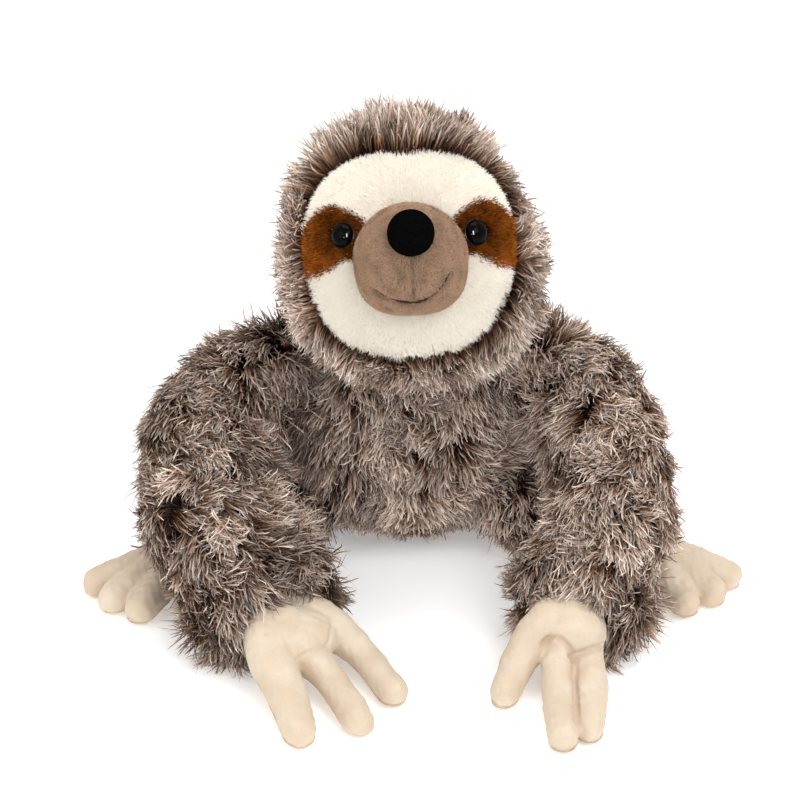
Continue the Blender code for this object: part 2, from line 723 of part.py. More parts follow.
def digit_points(shares, start, across_sign, length, radius):
    """A finger's or toe's points, from its root at start to its tip on the floor."""
    rows = []
    for across, ahead, drop, thick in shares:
        tip_height = radius * shares[-1][3] - FLOOR_FLAT
        height = start.z + (tip_height - start.z) * drop
        rows.append((start.x + across_sign * across * length, start.y - ahead * length, height,
                     thick * radius))
    return rows


def make_limbs(torso_cover, torso_stuffing, floor):
    for side_name, side in SIDES.items():
        shoulder, out = seat_on_torso(side, math.asin(SHOULDER_FORWARD / TORSO_HALF_DEPTH),
                                      SHOULDER_HEIGHT, SHOULDER_STANDOFF)
        pivot = add_pivot(f"shoulder_pivot_{side_name}", shoulder)
        seam_part(f"shoulder_seam_{side_name}", ARM_ROOT_RADIUS, pivot, (side, 0, 0),
                  SEAM_START)
        seat = seat_cutter(f"shoulder_seat_{side_name}", seam_radii(ARM_ROOT_RADIUS)[1],
                           place=shoulder)
        combine(torso_cover, "DIFFERENCE", seat)
        combine(torso_stuffing, "DIFFERENCE", seat)
        wrist = limb(f"arm_{side_name}", arm_points(side_name, side, shoulder), shoulder, FUR,
                     FUR_COVER, HAND_ROOT_RADIUS, pivot, floor)
        fingers = [digit_points(shares, wrist, 1, HAND_LENGTH, FINGER_RADIUS)
                   for shares in FINGER_SHARES[side_name]]
        paw(f"hand_{side_name}", HAND_ROOT_RADIUS, fingers, wrist, pivot, floor)

        hip, out = seat_on_torso(side, HIP_AZIMUTH, HIP_HEIGHT, HIP_STANDOFF)
        pivot = add_pivot(f"hip_pivot_{side_name}", hip)
        seam_part(f"hip_seam_{side_name}", LEG_ROOT_RADIUS, pivot, out, SEAM_START)
        seat = seat_cutter(f"hip_seat_{side_name}", seam_radii(LEG_ROOT_RADIUS)[1], place=hip)
        combine(torso_cover, "DIFFERENCE", seat)
        combine(torso_stuffing, "DIFFERENCE", seat)
        ankle = limb(f"leg_{side_name}", leg_points(side_name, side, hip), hip, FUR, LEG_COVER,
                     FOOT_ROOT_RADIUS, pivot, floor)
        toes = [digit_points(shares, ankle, side, FOOT_LENGTH, TOE_RADIUS)
                for shares in TOE_SHARES]
        paw(f"foot_{side_name}", FOOT_ROOT_RADIUS, toes, ankle, pivot, floor)


clear_scene()
PARTS = new_collection("plush_sloth")
CUTTERS = new_collection("cutters")
FUR = material("fur", (0.27, 0.20, 0.15), 0.95)
FACE = material("face_plush", (0.85, 0.78, 0.65), 0.95)
PATCH = material("eye_patch_plush", (0.16, 0.05, 0.015), 0.9)
MUZZLE = material("muzzle_plush", (0.30, 0.22, 0.16), 0.9)
NOSE = material("nose_cloth", (0.01, 0.01, 0.012), 0.7)
EYE = material("eye_plastic", (0.005, 0.005, 0.005), 0.08)
WASHER = material("washer_plastic", (0.7, 0.7, 0.68), 0.5)
THREAD = material("thread", (0.05, 0.025, 0.015), 0.7)
PAW = material("paw_suede", (0.80, 0.67, 0.48), 0.85)
SEAM_CLOTH = material("seam_cloth", (0.2, 0.15, 0.11), 0.9)
STUFFING = material("stuffing", (0.9, 0.9, 0.88), 1.0)

torso_cover, torso_stuffing, floor = make_torso()
make_limbs(torso_cover, torso_stuffing, floor)
make_head()
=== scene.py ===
"""Looks of the long-haired plush sloth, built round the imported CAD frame. Metres, +Z up."""

import math

import bpy
import numpy as np
from mathutils import Euler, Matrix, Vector
from numpy.linalg import norm


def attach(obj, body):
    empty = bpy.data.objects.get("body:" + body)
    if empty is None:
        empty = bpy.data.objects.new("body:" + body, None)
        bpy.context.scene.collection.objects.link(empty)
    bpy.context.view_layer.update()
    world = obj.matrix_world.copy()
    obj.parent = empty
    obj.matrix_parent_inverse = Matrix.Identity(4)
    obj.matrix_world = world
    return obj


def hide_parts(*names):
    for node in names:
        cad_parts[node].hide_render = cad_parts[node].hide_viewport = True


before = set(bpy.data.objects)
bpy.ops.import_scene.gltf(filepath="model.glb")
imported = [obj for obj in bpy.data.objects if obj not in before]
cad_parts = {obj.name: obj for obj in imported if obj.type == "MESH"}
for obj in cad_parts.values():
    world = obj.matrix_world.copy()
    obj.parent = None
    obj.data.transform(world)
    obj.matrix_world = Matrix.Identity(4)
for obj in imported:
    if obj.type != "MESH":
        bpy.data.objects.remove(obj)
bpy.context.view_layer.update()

RNG = np.random.default_rng(20)
UV = "OFBake"


# Camera, floor and light

PHOTO_SIDE, PHOTO_FOCAL, SENSOR = 800, 2128, 36
CAMERA_PLACE, CAMERA_TARGET = (-0.004, -0.9490, 0.5490), (-0.004, -0.058, 0.095)
FLOOR_REACH = 6.0
TOY_MIDDLE, FACE_MIDDLE = (0, -0.04, 0.1), (0, -0.08, 0.18)


def add_object(name, data):
    item = bpy.data.objects.new(name, data)
    bpy.context.scene.collection.objects.link(item)
    return item


def aim(item, place, target):
    item.location = place
    item.rotation_euler = (Vector(target) - Vector(place)).to_track_quat("-Z", "Y").to_euler()


def set_inputs(node, values):
    for socket, value in values.items():
        node.inputs[socket].default_value = value


def make_camera():
    lens = bpy.data.cameras.new("camera")
    lens.sensor_width = SENSOR
    lens.lens = SENSOR * PHOTO_FOCAL / PHOTO_SIDE
    lens.clip_start = 0.01
    camera = add_object("camera", lens)
    aim(camera, CAMERA_PLACE, CAMERA_TARGET)
    bpy.context.scene.camera = camera


def area_light(name, place, target, size, power):
    lamp = bpy.data.lights.new(name, "AREA")
    lamp.shape = "RECTANGLE"
    lamp.size, lamp.size_y = size
    lamp.energy = power
    item = add_object(name, lamp)
    aim(item, place, target)
    return item


def make_stage():
    scene = bpy.context.scene
    scene.view_settings.view_transform = "Standard"
    world = bpy.data.worlds.new("studio")
    scene.world = world
    world.use_nodes = True
    set_inputs(world.node_tree.nodes["Background"], {"Color": (1, 1, 1, 1), "Strength": 0.78})

    mesh = bpy.data.meshes.new("floor")
    far = FLOOR_REACH
    mesh.from_pydata([(-far, -far, 0), (far, -far, 0), (far, far, 0), (-far, far, 0)], [],
                     [(0, 1, 2, 3)])
    floor = add_object("floor", mesh)
    paint = bpy.data.materials.new("floor_white")
    paint.use_nodes = True
    set_inputs(paint.node_tree.nodes["Principled BSDF"], {
        "Base Color": (0.93, 0.93, 0.93, 1), "Roughness": 0.9, "Specular IOR Level": 0.1,
        "Emission Color": (1, 1, 1, 1), "Emission Strength": 0.30})
    mesh.materials.append(paint)

    area_light("key", (0.60, -0.90, 1.20), TOY_MIDDLE, (0.8, 0.8), 8.5)
    area_light("fill", (-0.85, -0.75, 0.80), TOY_MIDDLE, (0.8, 0.9), 3.2)
    area_light("top", (0.05, 0.25, 1.35), TOY_MIDDLE, (1.0, 0.7), 6.5)
    # The last two only glint in the eyes and light nothing else.
    window = area_light("window", (0.10, -0.80, 0.62), FACE_MIDDLE, (0.12, 0.40), 45)
    glint = area_light("glint", (-0.22, -0.80, 0.40), FACE_MIDDLE, (0.06, 0.10), 3.5)
    window.visible_diffuse = glint.visible_diffuse = False


make_camera()
make_stage()


# Small helpers

def linear(code):
    """A colour such as "c9bcb0" as linear numbers."""
    shares = [int(code[at:at + 2], 16) / 255 for at in (0, 2, 4)]
    return tuple(s / 12.92 if s <= 0.04045 else ((s + 0.055) / 1.055) ** 2.4 for s in shares)


def unit(v):
    return v / np.maximum(norm(v, axis=-1, keepdims=True), 1e-12)


def tangent(v, n):
    """What is left of v along a surface with normal n, one unit long."""
    return unit(v - n * (v * n).sum(-1, keepdims=True))


def turned(v, axis, angle):
    """v turned about a unit axis, row by row."""
    c, s = np.cos(angle)[:, None], np.sin(angle)[:, None]
    return v * c + np.cross(axis, v) * s + axis * (v * axis).sum(-1, keepdims=True) * (1 - c)


def ramp(x):
    """x kept within 0 to 1."""
    return np.clip(x, 0, 1)


def round_turn(count):
    """Angles once round, count of them."""
    return np.arange(count) * 2 * math.pi / count


WAVE_COUNT = 14


class Waves:
    """A smooth random field of a given wavelength, about -1 to 1."""

    def __init__(self, wavelength):
        self.k = unit(RNG.normal(size=(WAVE_COUNT, 3))) * 2 * math.pi / wavelength
        self.k = self.k * RNG.uniform(0.7, 1.4, (WAVE_COUNT, 1))
        self.phase = RNG.uniform(0, 2 * math.pi, WAVE_COUNT)

    def __call__(self, p):
        return np.sin(p @ self.k.T + self.phase).sum(1) / math.sqrt(WAVE_COUNT / 2)


def new_mesh(name, verts, quads, tris=np.zeros((0, 3), int), uv=None, normals=None):
    """A mesh from arrays. uv and normals hold a row for each vertex."""
    mesh = bpy.data.meshes.new(name)
    mesh.vertices.add(len(verts))
    mesh.vertices.foreach_set("co", np.asarray(verts, np.float32).ravel())
    corners = np.concatenate([quads.ravel(), tris.ravel()]).astype(np.int32)
    starts = np.concatenate([np.arange(len(quads)) * 4, len(quads) * 4 + np.arange(len(tris)) * 3])
    mesh.loops.add(len(corners))
    mesh.loops.foreach_set("vertex_index", corners)
    mesh.polygons.add(len(starts))
    mesh.polygons.foreach_set("loop_start", starts.astype(np.int32))
    if uv is not None:
        layer = mesh.uv_layers.new(name=UV)
        layer.data.foreach_set("uv", np.asarray(uv, np.float32)[corners].ravel())
    mesh.update(calc_edges=True)
    mesh.validate()
    mesh.shade_smooth()
    if normals is not None:
        mesh.normals_split_custom_set_from_vertices(np.asarray(normals, np.float32))
    return mesh


def new_piece(name, mesh, paint, body, replaced=()):
    piece = add_object(name, mesh)
    mesh.materials.clear()
    mesh.materials.append(paint)
    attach(piece, body)
    if replaced:
        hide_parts(*replaced)


# Materials

def new_material(name, roughness, sheen=0.0, specular=0.3):
    paint = bpy.data.materials.new(name)
    paint.use_nodes = True
    shader = paint.node_tree.nodes["Principled BSDF"]
    set_inputs(shader, {"Roughness": roughness, "Specular IOR Level": specular,
                        "Sheen Weight": sheen, "Sheen Roughness": 0.45})
    return paint, paint.node_tree, shader


def add_ramp(tree, stops, source):
    ramp = tree.nodes.new("ShaderNodeValToRGB")
    parts = ramp.color_ramp.elements
    for part, (place, colour) in zip(parts, stops):
        part.position, part.color = place, (*colour, 1)
    for place, colour in stops[2:]:
        parts.new(place).color = (*colour, 1)
    tree.links.new(source, ramp.inputs["Fac"])
    return ramp.outputs["Color"]


def multiplied(tree, factor, first, second):
    """first times second, as far as factor goes. Each is a number, a colour or a socket."""
    mix = tree.nodes.new("ShaderNodeMix")
    mix.data_type = "RGBA"
    mix.blend_type = "MULTIPLY"
    for socket, value in (("Factor", factor), (6, first), (7, second)):
        if isinstance(value, (int, float)):
            mix.inputs[socket].default_value = value
        elif isinstance(value, tuple):
            mix.inputs[socket].default_value = (*value, 1)
        else:
            tree.links.new(value, mix.inputs[socket])
    return mix.outputs[2]


def add_noise(tree, scale, detail, roughness=0.55):
    noise = tree.nodes.new("ShaderNodeTexNoise")
    set_inputs(noise, {"Scale": scale, "Detail": detail, "Roughness": roughness})
    place = tree.nodes.new("ShaderNodeTexCoord")
    tree.links.new(place.outputs["Object"], noise.inputs["Vector"])
    return noise.outputs["Fac"]


def pile_material(name, along, across, roughness=0.6, sheen=0.0, specular=0.3, tints=()):
    """Standing fibres. The map's v runs root to tip and picks from along, a colour for each
    place; u is the fibre's own tone and picks a factor from across. A tint is (tone from, tone
    to, colour)."""
    paint, tree, shader = new_material(name, roughness, sheen, specular)
    place = tree.nodes.new("ShaderNodeUVMap")
    place.uv_map = UV
    split = tree.nodes.new("ShaderNodeSeparateXYZ")
    tree.links.new(place.outputs["UV"], split.inputs[0])
    tone, height = split.outputs["X"], split.outputs["Y"]
    colour = add_ramp(tree, [(at, linear(code)) for at, code in along], height)
    for low, high, code in tints:
        part = add_ramp(tree, [(max(low - 0.01, 0), (0, 0, 0)), (low, (1, 1, 1)),
                               (high, (1, 1, 1)), (min(high + 0.01, 1), (0, 0, 0))], tone)
        colour = multiplied(tree, part, colour, linear(code))
    factor = add_ramp(tree, [(at, (value, value, value)) for at, value in across], tone)
    tree.links.new(multiplied(tree, 1.0, colour, factor), shader.inputs["Base Color"])
    return paint


def cloth_material(name, codes, scale, roughness=0.85, sheen=0.3, bump=0.0002, fine=2600,
                   specular=0.3):
    """Cloth whose colour wanders between two colours, with a fine nap."""
    paint, tree, shader = new_material(name, roughness, sheen, specular)
    wander = add_noise(tree, scale, 4)
    colour = add_ramp(tree, [(0.3, linear(codes[0])), (0.7, linear(codes[1]))], wander)
    nap = add_noise(tree, fine, 2, 0.7)
    shade = add_ramp(tree, [(0.3, (0.75, 0.75, 0.75)), (0.65, (1, 1, 1))], nap)
    tree.links.new(multiplied(tree, 0.35, colour, shade), shader.inputs["Base Color"])
    relief = tree.nodes.new("ShaderNodeBump")
    relief.inputs["Distance"].default_value = bump
    tree.links.new(nap, relief.inputs["Height"])
    tree.links.new(relief.outputs["Normal"], shader.inputs["Normal"])
    return paint


# The fur's roots are darker than its tips in its own colour, and are made darker still as painted
# shade deep in the coat.
FUR = pile_material(
    "long_fur",
    [(0.0, "140703"), (0.26, "26130a"), (0.44, "482a18"), (0.60, "7d5e48"), (0.80, "bca697"),
     (1.0, "e0d5cc")],
    [(0.0, 0.28), (0.25, 0.60), (0.6, 1.0), (1.0, 1.5)], specular=0.04,
    tints=[(0.40, 0.48, "f0ddd0"), (0.02, 0.12, "d0b09a")])
BACKING = cloth_material("fur_backing", ("3e2415", "5c3e2a"), 160, sheen=0.0, specular=0.05)
FACE = pile_material("cream_plush", [(0.0, "fbeed8"), (0.5, "fff7e9"), (1.0, "fffaf0")],
                     [(0.0, 0.97), (0.5, 1.0), (1.0, 1.0)], roughness=0.8, sheen=0.1,
                     specular=0.1)
PATCH = pile_material("rusty_plush", [(0.0, "4a1d06"), (0.5, "813d0e"), (1.0, "a76327")],
                      [(0.0, 0.12), (0.3, 0.45), (0.6, 0.90), (1.0, 1.60)], roughness=0.7,
                      specular=0.0)
MUZZLE = pile_material("taupe_plush", [(0.0, "8a6a50"), (0.5, "aa876a"), (1.0, "bf9f84")],
                       [(0.0, 0.55), (0.4, 0.92), (0.6, 1.0), (1.0, 1.18)], roughness=0.75,
                       specular=0.1)
NOSE = cloth_material("black_flock", ("060606", "0b0b0b"), 900, 0.95, 0.0, fine=3200,
                      specular=0.0)
SUEDE = cloth_material("cream_suede", ("d4bfa6", "dfcfba"), 60, sheen=0.05, fine=2300, bump=0.0003,
                       specular=0.1)
EDGE = cloth_material("suede_seam", ("c9b298", "d6c2aa"), 300, sheen=0.0, specular=0.1)
SEAM = cloth_material("seam_cloth", ("2a1d16", "3d2d23"), 300)
THREAD = cloth_material("smile_thread", ("1c0e08", "33200f"), 500, sheen=0.0, specular=0.1)


def gloss(name, colour, roughness, specular):
    """Smooth plastic, its colour nearly even."""
    paint, tree, shader = new_material(name, roughness, specular=specular)
    haze = add_noise(tree, 700, 2)
    tree.links.new(add_ramp(tree, [(0.4, colour), (0.7, tuple(c * 1.6 for c in colour))], haze),
                   shader.inputs["Base Color"])
    return paint


EYE = gloss("eye_black", (0.0015, 0.0013, 0.0012), 0.04, 0.05)
RIM = gloss("eye_rim", (0.008, 0.007, 0.006), 0.25, 0.12)


# The body's forms, from the same sizes as the CAD

FLOOR_FLAT = 0.0005
TORSO_RADII = np.array((0.060, 0.053, 0.058))
TORSO_CENTRE = np.array((0, 0, 0.053))
TORSO_BULGE, TORSO_TAPER = 0.80, 0.10
NECK_PIVOT = np.array((0, -0.010, 0.087))
NECK_RADIUS = 0.036
HEAD_RADII = np.array((0.063, 0.058, 0.062))
HEAD_CENTRE = np.array((0, -0.033, 0.087 + 1.15 * 0.062))
HEAD_TURN = np.array(Euler((math.radians(-20), 0, math.radians(1))).to_matrix()
                     @ Euler((0, math.radians(-2.2), 0)).to_matrix())
HOLLOW = HEAD_RADII - 0.012
PANEL = HOLLOW + 0.005
FACE_HALF = np.array((0.0470, 0.0450))
SQUARENESS = 2.45
MUZZLE_RADII = np.array((0.0254, 0.032, 0.0248))
MUZZLE_CENTRE = np.array((0, 0.032 - 0.080, 0.001))
NOSE_RADIUS, NOSE_RISE, NOSE_PROUD = 0.0103, 0.0120, 0.0010
EYE_RADIUS, EYE_DOME, EYE_RIM, EYE_OUT = 0.0055, 0.0046, 0.0008, 0.0293
EYE_UP = {"left": 0.0121, "right": 0.0107}
SHANK = (0.0020, 0.0135)
MOUTH_WIDTH = 0.0330
MOUTH = ((-0.49, -0.35), (-0.35, -0.44), (-0.19, -0.51), (-0.02, -0.54), (0.15, -0.51),
         (0.29, -0.42), (0.40, -0.30), (0.49, -0.17))
PATCH_WIDTH = 0.048
PATCH_SHAPE = ((0.40, 0.37), (0.54, 0.45), (0.67, 0.50), (0.79, 0.47), (0.90, 0.37),
               (1.02, 0.21), (1.06, 0.05), (1.00, -0.11), (0.84, -0.09), (0.69, -0.02),
               (0.58, 0.05), (0.44, 0.05), (0.36, 0.21))
SIDES = {"left": -1, "right": 1}


def on_both(out, *rest):
    """The same place or way on either side, out from the middle."""
    return {side: np.array((sign * out, *rest)) for side, sign in SIDES.items()}


SHOULDER = on_both(0.0586301, -0.0040699, 0.082)
HIP = on_both(0.0536514, -0.0280831, 0.024)
HIP_OUT = on_both(0.8371, -0.5471, 0)
# A row of a limb's shape holds shares of its sizes: out, ahead, an arm's lift, thickness.
ARM_ROOT, ARM_RADIUS, ARM_REACH, ARM_SPREAD, ARM_LIFT = 0.022, 0.0270, 0.122, 0.104, 0.041
LEG_ROOT, LEG_RADIUS, LEG_SPREAD, LEG_FORWARD = 0.017, 0.019, 0.113, 0.060
CUFF_BACK = 0.005
ARM_SHAPE = {
    "left": ((0.79, 0.16, 1.33, 0.96), (0.95, 0.42, 1.08, 1.02), (0.91, 0.74, 0.55, 1.06),
             (0.70, 0.92, 0.00, 1.08), (0.59, 1.05, 0.00, 1.04)),
    "right": ((0.79, 0.16, 1.33, 0.96), (0.905, 0.42, 1.08, 1.02), (0.915, 0.74, 0.55, 1.04),
              (0.77, 0.92, 0.00, 1.03), (0.74, 1.05, 0.02, 1.00)),
}
LEG_SHAPE = {"left": ((0.76, 0.78, 1.00), (0.99, 1.06, 0.86)),
             "right": ((0.78, 0.74, 1.00), (1.03, 0.96, 0.86))}
HAND_ROOT, HAND_LENGTH, FINGER_RADIUS = 0.0140, 0.076, 0.0072
FOOT_ROOT, FOOT_LENGTH, TOE_RADIUS = 0.0115, 0.042, 0.0075
# A row of a digit's shape: across and ahead in lengths, drop to the floor, thickness.
FINGERS = {
    "left": (
        ((-0.02, 0.05, 0.00, 1.35), (-0.02, 0.35, 0.30, 1.50), (0.10, 0.65, 0.78, 1.25),
         (0.185, 0.925, 1.00, 1.06)),
        ((0.01, 0.06, 0.00, 1.35), (0.135, 0.285, 0.30, 1.50), (0.34, 0.475, 0.80, 1.00),
         (0.515, 0.815, 1.00, 1.00)),
        ((0.06, 0.03, 0.00, 1.35), (0.295, 0.10, 0.30, 1.42), (0.53, 0.23, 0.80, 1.00),
         (0.71, 0.53, 1.00, 0.97)),
    ),
    "right": (
        ((-0.05, 0.04, 0.00, 1.35), (-0.21, 0.205, 0.02, 1.26), (-0.35, 0.32, 0.62, 1.12),
         (-0.455, 0.535, 1.00, 0.94)),
        ((-0.015, 0.06, 0.00, 1.35), (-0.085, 0.215, 0.16, 1.46), (-0.15, 0.535, 0.74, 1.02),
         (-0.145, 0.975, 1.00, 0.94)),
        ((0.03, 0.05, 0.00, 1.35), (0.03, 0.20, 0.26, 1.42), (0.045, 0.585, 0.80, 0.98),
         (0.01, 0.885, 1.00, 0.90)),
    ),
}
TOES = (
    ((0.06, 0.03, 0.00, 1.24), (0.34, 0.12, 0.55, 1.24), (0.89, 0.34, 1.00, 1.00)),
    ((0.06, 0.06, 0.00, 1.24), (0.29, 0.32, 0.55, 1.24), (0.67, 0.69, 1.00, 1.00)),
    ((0.03, 0.07, 0.00, 1.24), (0.12, 0.42, 0.55, 1.24), (0.34, 0.91, 1.00, 1.00)),
)


def smooth_path(points, steps):
    """Rows on a Catmull-Rom curve through the rows of points."""
    points = np.asarray(points, float)
    rows = np.vstack([2 * points[0] - points[1], points, 2 * points[-1] - points[-2]])
    path = []
    for a, b, c, d in zip(rows, rows[1:], rows[2:], rows[3:]):
        for t in np.arange(steps) / steps:
            path.append(0.5 * (2 * b + (c - a) * t + (2 * a - 5 * b + 4 * c - d) * t ** 2
                               + (3 * b - a - 3 * c + d) * t ** 3))
    return np.array([*path, points[-1]])


def arm_path(side):
    rows = [(*SHOULDER[side], ARM_ROOT)]
    for out, ahead, lift, thick in ARM_SHAPE[side]:
        radius = thick * ARM_RADIUS
        rows.append((SIDES[side] * out * ARM_SPREAD, -ahead * ARM_REACH,
                     lift * ARM_LIFT + radius - FLOOR_FLAT, radius))
    return np.array(rows)


def leg_path(side):
    rows = [(*HIP[side], LEG_ROOT)]
    for out, ahead, thick in LEG_SHAPE[side]:
        radius = thick * LEG_RADIUS
        rows.append((SIDES[side] * out * LEG_SPREAD, -ahead * LEG_FORWARD, radius - FLOOR_FLAT,
                     radius))
    return np.array(rows)


def digit_path(shape, start, sign, length, radius):
    rows = []
    for across, ahead, drop, thick in shape:
        tip = radius * shape[-1][3] - FLOOR_FLAT
        rows.append((start[0] + sign * across * length, start[1] - ahead * length,
                     start[2] + (tip - start[2]) * drop, thick * radius))
    return np.array(rows)


WRIST = {side: arm_path(side)[-1, :3] for side in SIDES}
ANKLE = {side: leg_path(side)[-1, :3] for side in SIDES}


def finger(shape, side):
    return digit_path(shape, WRIST[side], 1, HAND_LENGTH, FINGER_RADIUS)


HANDS = {side: [finger(shape, side) for shape in FINGERS[side]] for side in SIDES}
FEET = {side: [digit_path(s, ANKLE[side], SIDES[side], FOOT_LENGTH, TOE_RADIUS) for s in TOES]
        for side in SIDES}


def shortened(path):
    """A limb's path as the CAD cover has it, its end drawn back by CUFF_BACK."""
    along = unit(path[-1, :3] - path[-2, :3])
    path = path.copy()
    path[-1, :3] -= along * CUFF_BACK
    return path


def ball_grid(rows, columns):
    """Unit points of a sphere, rows from top to bottom by columns round it."""
    fall, turn = np.linspace(0, math.pi, rows)[:, None], round_turn(columns)
    return np.stack([np.sin(fall) * np.cos(turn), np.sin(fall) * np.sin(turn),
                     np.cos(fall) + 0 * turn], -1)


def torso_grid():
    grid = ball_grid(61, 90)
    level = grid[..., 2]
    flat = np.maximum(1 - level ** 2, 1e-9) ** 0.5
    swell = np.maximum(flat, 0.05) ** (TORSO_BULGE - 1) * (1 - TORSO_TAPER * level)
    grid[..., :2] *= swell[..., None]
    return grid * TORSO_RADII + TORSO_CENTRE


def head_grid():
    """The head's form under the tips of its fur, thinner at the cheeks and the crown than the
    CAD's ellipsoid."""
    grid = ball_grid(61, 90)
    grid[..., 0] *= 0.955 - 0.08 * grid[..., 2]
    return grid * HEAD_RADII @ HEAD_TURN.T + HEAD_CENTRE


def tube_grid(path, sides=40, steps=10, flat_end=0.45):
    """Rings round a smooth path, closed by a round start and a flattened round end."""
    rings = smooth_path(path, steps)
    turns = np.linspace(0.05, math.pi / 2, 8)

    def cap(row, before, flat, angles):
        way = unit(row[:3] - before[:3])
        return [(*(row[:3] + way * row[3] * flat * math.cos(a)), row[3] * math.sin(a))
                for a in angles]
    rings = np.vstack([cap(rings[0], rings[1], 1, turns[:-1]), rings,
                       cap(rings[-1], rings[-2], flat_end, turns[-2::-1])])
    middle = rings[:, :3]
    along = unit(np.gradient(middle, axis=0))
    side = unit(np.cross(along[0], (0.3, 0.2, 0.9)))
    frames = []
    for direction in along:
        side = unit(side - direction * (side @ direction))
        frames.append((side, np.cross(direction, side)))
    frames = np.array(frames)
    turn = round_turn(sides)
    out = (frames[:, None, 0] * np.cos(turn)[None, :, None]
           + frames[:, None, 1] * np.sin(turn)[None, :, None])
    return middle[:, None] + out * rings[:, None, None, 3]


# The lowest that a skin and a backing reach, and how far a backing lies inside the hairs' roots
SKIN_FLOOR, BACKING_FLOOR, BACKING_GAP = 0.0002, 0.0010, 0.0005


def grid_faces(rows, columns):
    a = np.arange(rows - 1)[:, None] * columns + np.arange(columns)[None, :]
    b = np.arange(rows - 1)[:, None] * columns + (np.arange(columns)[None, :] + 1) % columns
    return np.stack([a, a + columns, b + columns, b], -1).reshape(-1, 4)


def closed_mesh(name, *grids):
    """A closed mesh of each grid, its first and last rows fanned to their middles."""
    verts, quads, tris, size = [], [], [], 0
    for grid in grids:
        rows, columns = grid.shape[:2]
        verts += [grid.reshape(-1, 3), grid[0].mean(0), grid[-1].mean(0)]
        here = np.arange(columns)
        ahead = (here + 1) % columns
        low, top = (rows - 1) * columns, np.full(columns, rows * columns)
        quads.append(size + grid_faces(rows, columns))
        tris += [size + np.stack([top, here, ahead], -1),
                 size + np.stack([top + 1, low + ahead, low + here], -1)]
        size += rows * columns + 2
    return new_mesh(name, np.vstack(verts), np.vstack(quads), np.vstack(tris))


def mesh_rows(items, field):
    """A field of three numbers for each vertex of a mesh, as rows."""
    rows = np.zeros(len(items) * 3, np.float32)
    items.foreach_get(field, rows)
    return rows.reshape(-1, 3).astype(float)


def mesh_points(mesh):
    return mesh_rows(mesh.vertices, "co")


def mesh_normals(mesh):
    return mesh_rows(mesh.vertex_normals, "vector")


def set_points(mesh, points, floor):
    """Moves a mesh's vertices to points, none of them below floor."""
    points[:, 2] = np.maximum(points[:, 2], floor)
    mesh.vertices.foreach_set("co", points.astype(np.float32).ravel())
    mesh.update()


def skin(grids, voxel, rounds):
    """One closed mesh grown over closed grids, softened where they meet."""
    shaped = add_object("part", closed_mesh("part", *grids))
    remesh = shaped.modifiers.new("grow", "REMESH")
    remesh.mode = "VOXEL"
    remesh.voxel_size = voxel
    smooth = shaped.modifiers.new("soften", "SMOOTH")
    smooth.factor = 0.5
    smooth.iterations = rounds
    bpy.context.view_layer.update()
    made = bpy.data.meshes.new_from_object(
        shaped.evaluated_get(bpy.context.evaluated_depsgraph_get()))
    bpy.data.objects.remove(shaped)
    set_points(made, mesh_points(made), SKIN_FLOOR)
    made.shade_smooth()
    return made


def add_backing(outer, body, depth):
    """The cloth under a body's fur: a copy of its outer skin, its surface moved in."""
    name = f"{body}_backing"
    inner = outer.copy()
    inner.name = name
    points = mesh_points(outer) - mesh_normals(outer) * (depth + BACKING_GAP)
    set_points(inner, points, BACKING_FLOOR)
    new_piece(name, inner, BACKING, body, (f"{body}_stuffing",))


def apart(points, gap):
    """Indices of points, taken in turn, none within gap of another."""
    taken, kept = {}, []
    for index, (x, y, z) in enumerate(np.floor(points / gap).astype(int).tolist()):
        near = [other for i in (-1, 0, 1) for j in (-1, 0, 1) for k in (-1, 0, 1)
                for other in taken.get((x + i, y + j, z + k), ())]
        if not near or ((points[near] - points[index]) ** 2).sum(1).min() > gap ** 2:
            taken.setdefault((x, y, z), []).append(index)
            kept.append(index)
    return np.array(kept)


def spaced(mesh, gap):
    """Random places on a mesh, even by area, none within gap of another, and their normals."""
    mesh.calc_loop_triangles()
    tris = np.zeros(len(mesh.loop_triangles) * 3, np.int32)
    mesh.loop_triangles.foreach_get("vertices", tris)
    tris = tris.reshape(-1, 3)
    points, normals = mesh_points(mesh), mesh_normals(mesh)
    a, b, c = points[tris.T]
    area = norm(np.cross(b - a, c - a), axis=1) / 2
    count = int(6 / gap ** 2 * area.sum())
    pick = tris[RNG.choice(len(tris), count, p=area / area.sum())]
    s, t = RNG.uniform(size=(2, count, 1))
    flip = s + t > 1
    s, t = np.where(flip, 1 - s, s), np.where(flip, 1 - t, t)
    places, ways = (rows[pick[:, 0]] * (1 - s - t) + rows[pick[:, 1]] * s + rows[pick[:, 2]] * t
                    for rows in (points, normals))
    kept = apart(places, gap)
    return places[kept], unit(ways[kept])


# Which points are inside each form, grown by a distance

def in_torso(p, grow):
    q = (p - TORSO_CENTRE) / (TORSO_RADII + grow)
    level = np.clip(q[:, 2], -1, 1)
    girth = (1 - level ** 2) ** (TORSO_BULGE / 2) * (1 - TORSO_TAPER * level)
    inside = (np.hypot(q[:, 0], q[:, 1]) < girth) & (abs(q[:, 2]) < 1)
    return inside | (norm(p - NECK_PIVOT, axis=1) < NECK_RADIUS + grow)


def in_head(p, grow):
    q = (p - HEAD_CENTRE) @ HEAD_TURN / (HEAD_RADII + grow)
    return (q ** 2).sum(1) < 1


def in_tube(p, path, grow):
    inside = np.zeros(len(p), bool)
    for row in smooth_path(path, 8):
        inside |= ((p - row[:3]) ** 2).sum(1) < max(row[3] + grow, 0) ** 2
    return inside


# Fur

ROUND_SHARE = 0.7


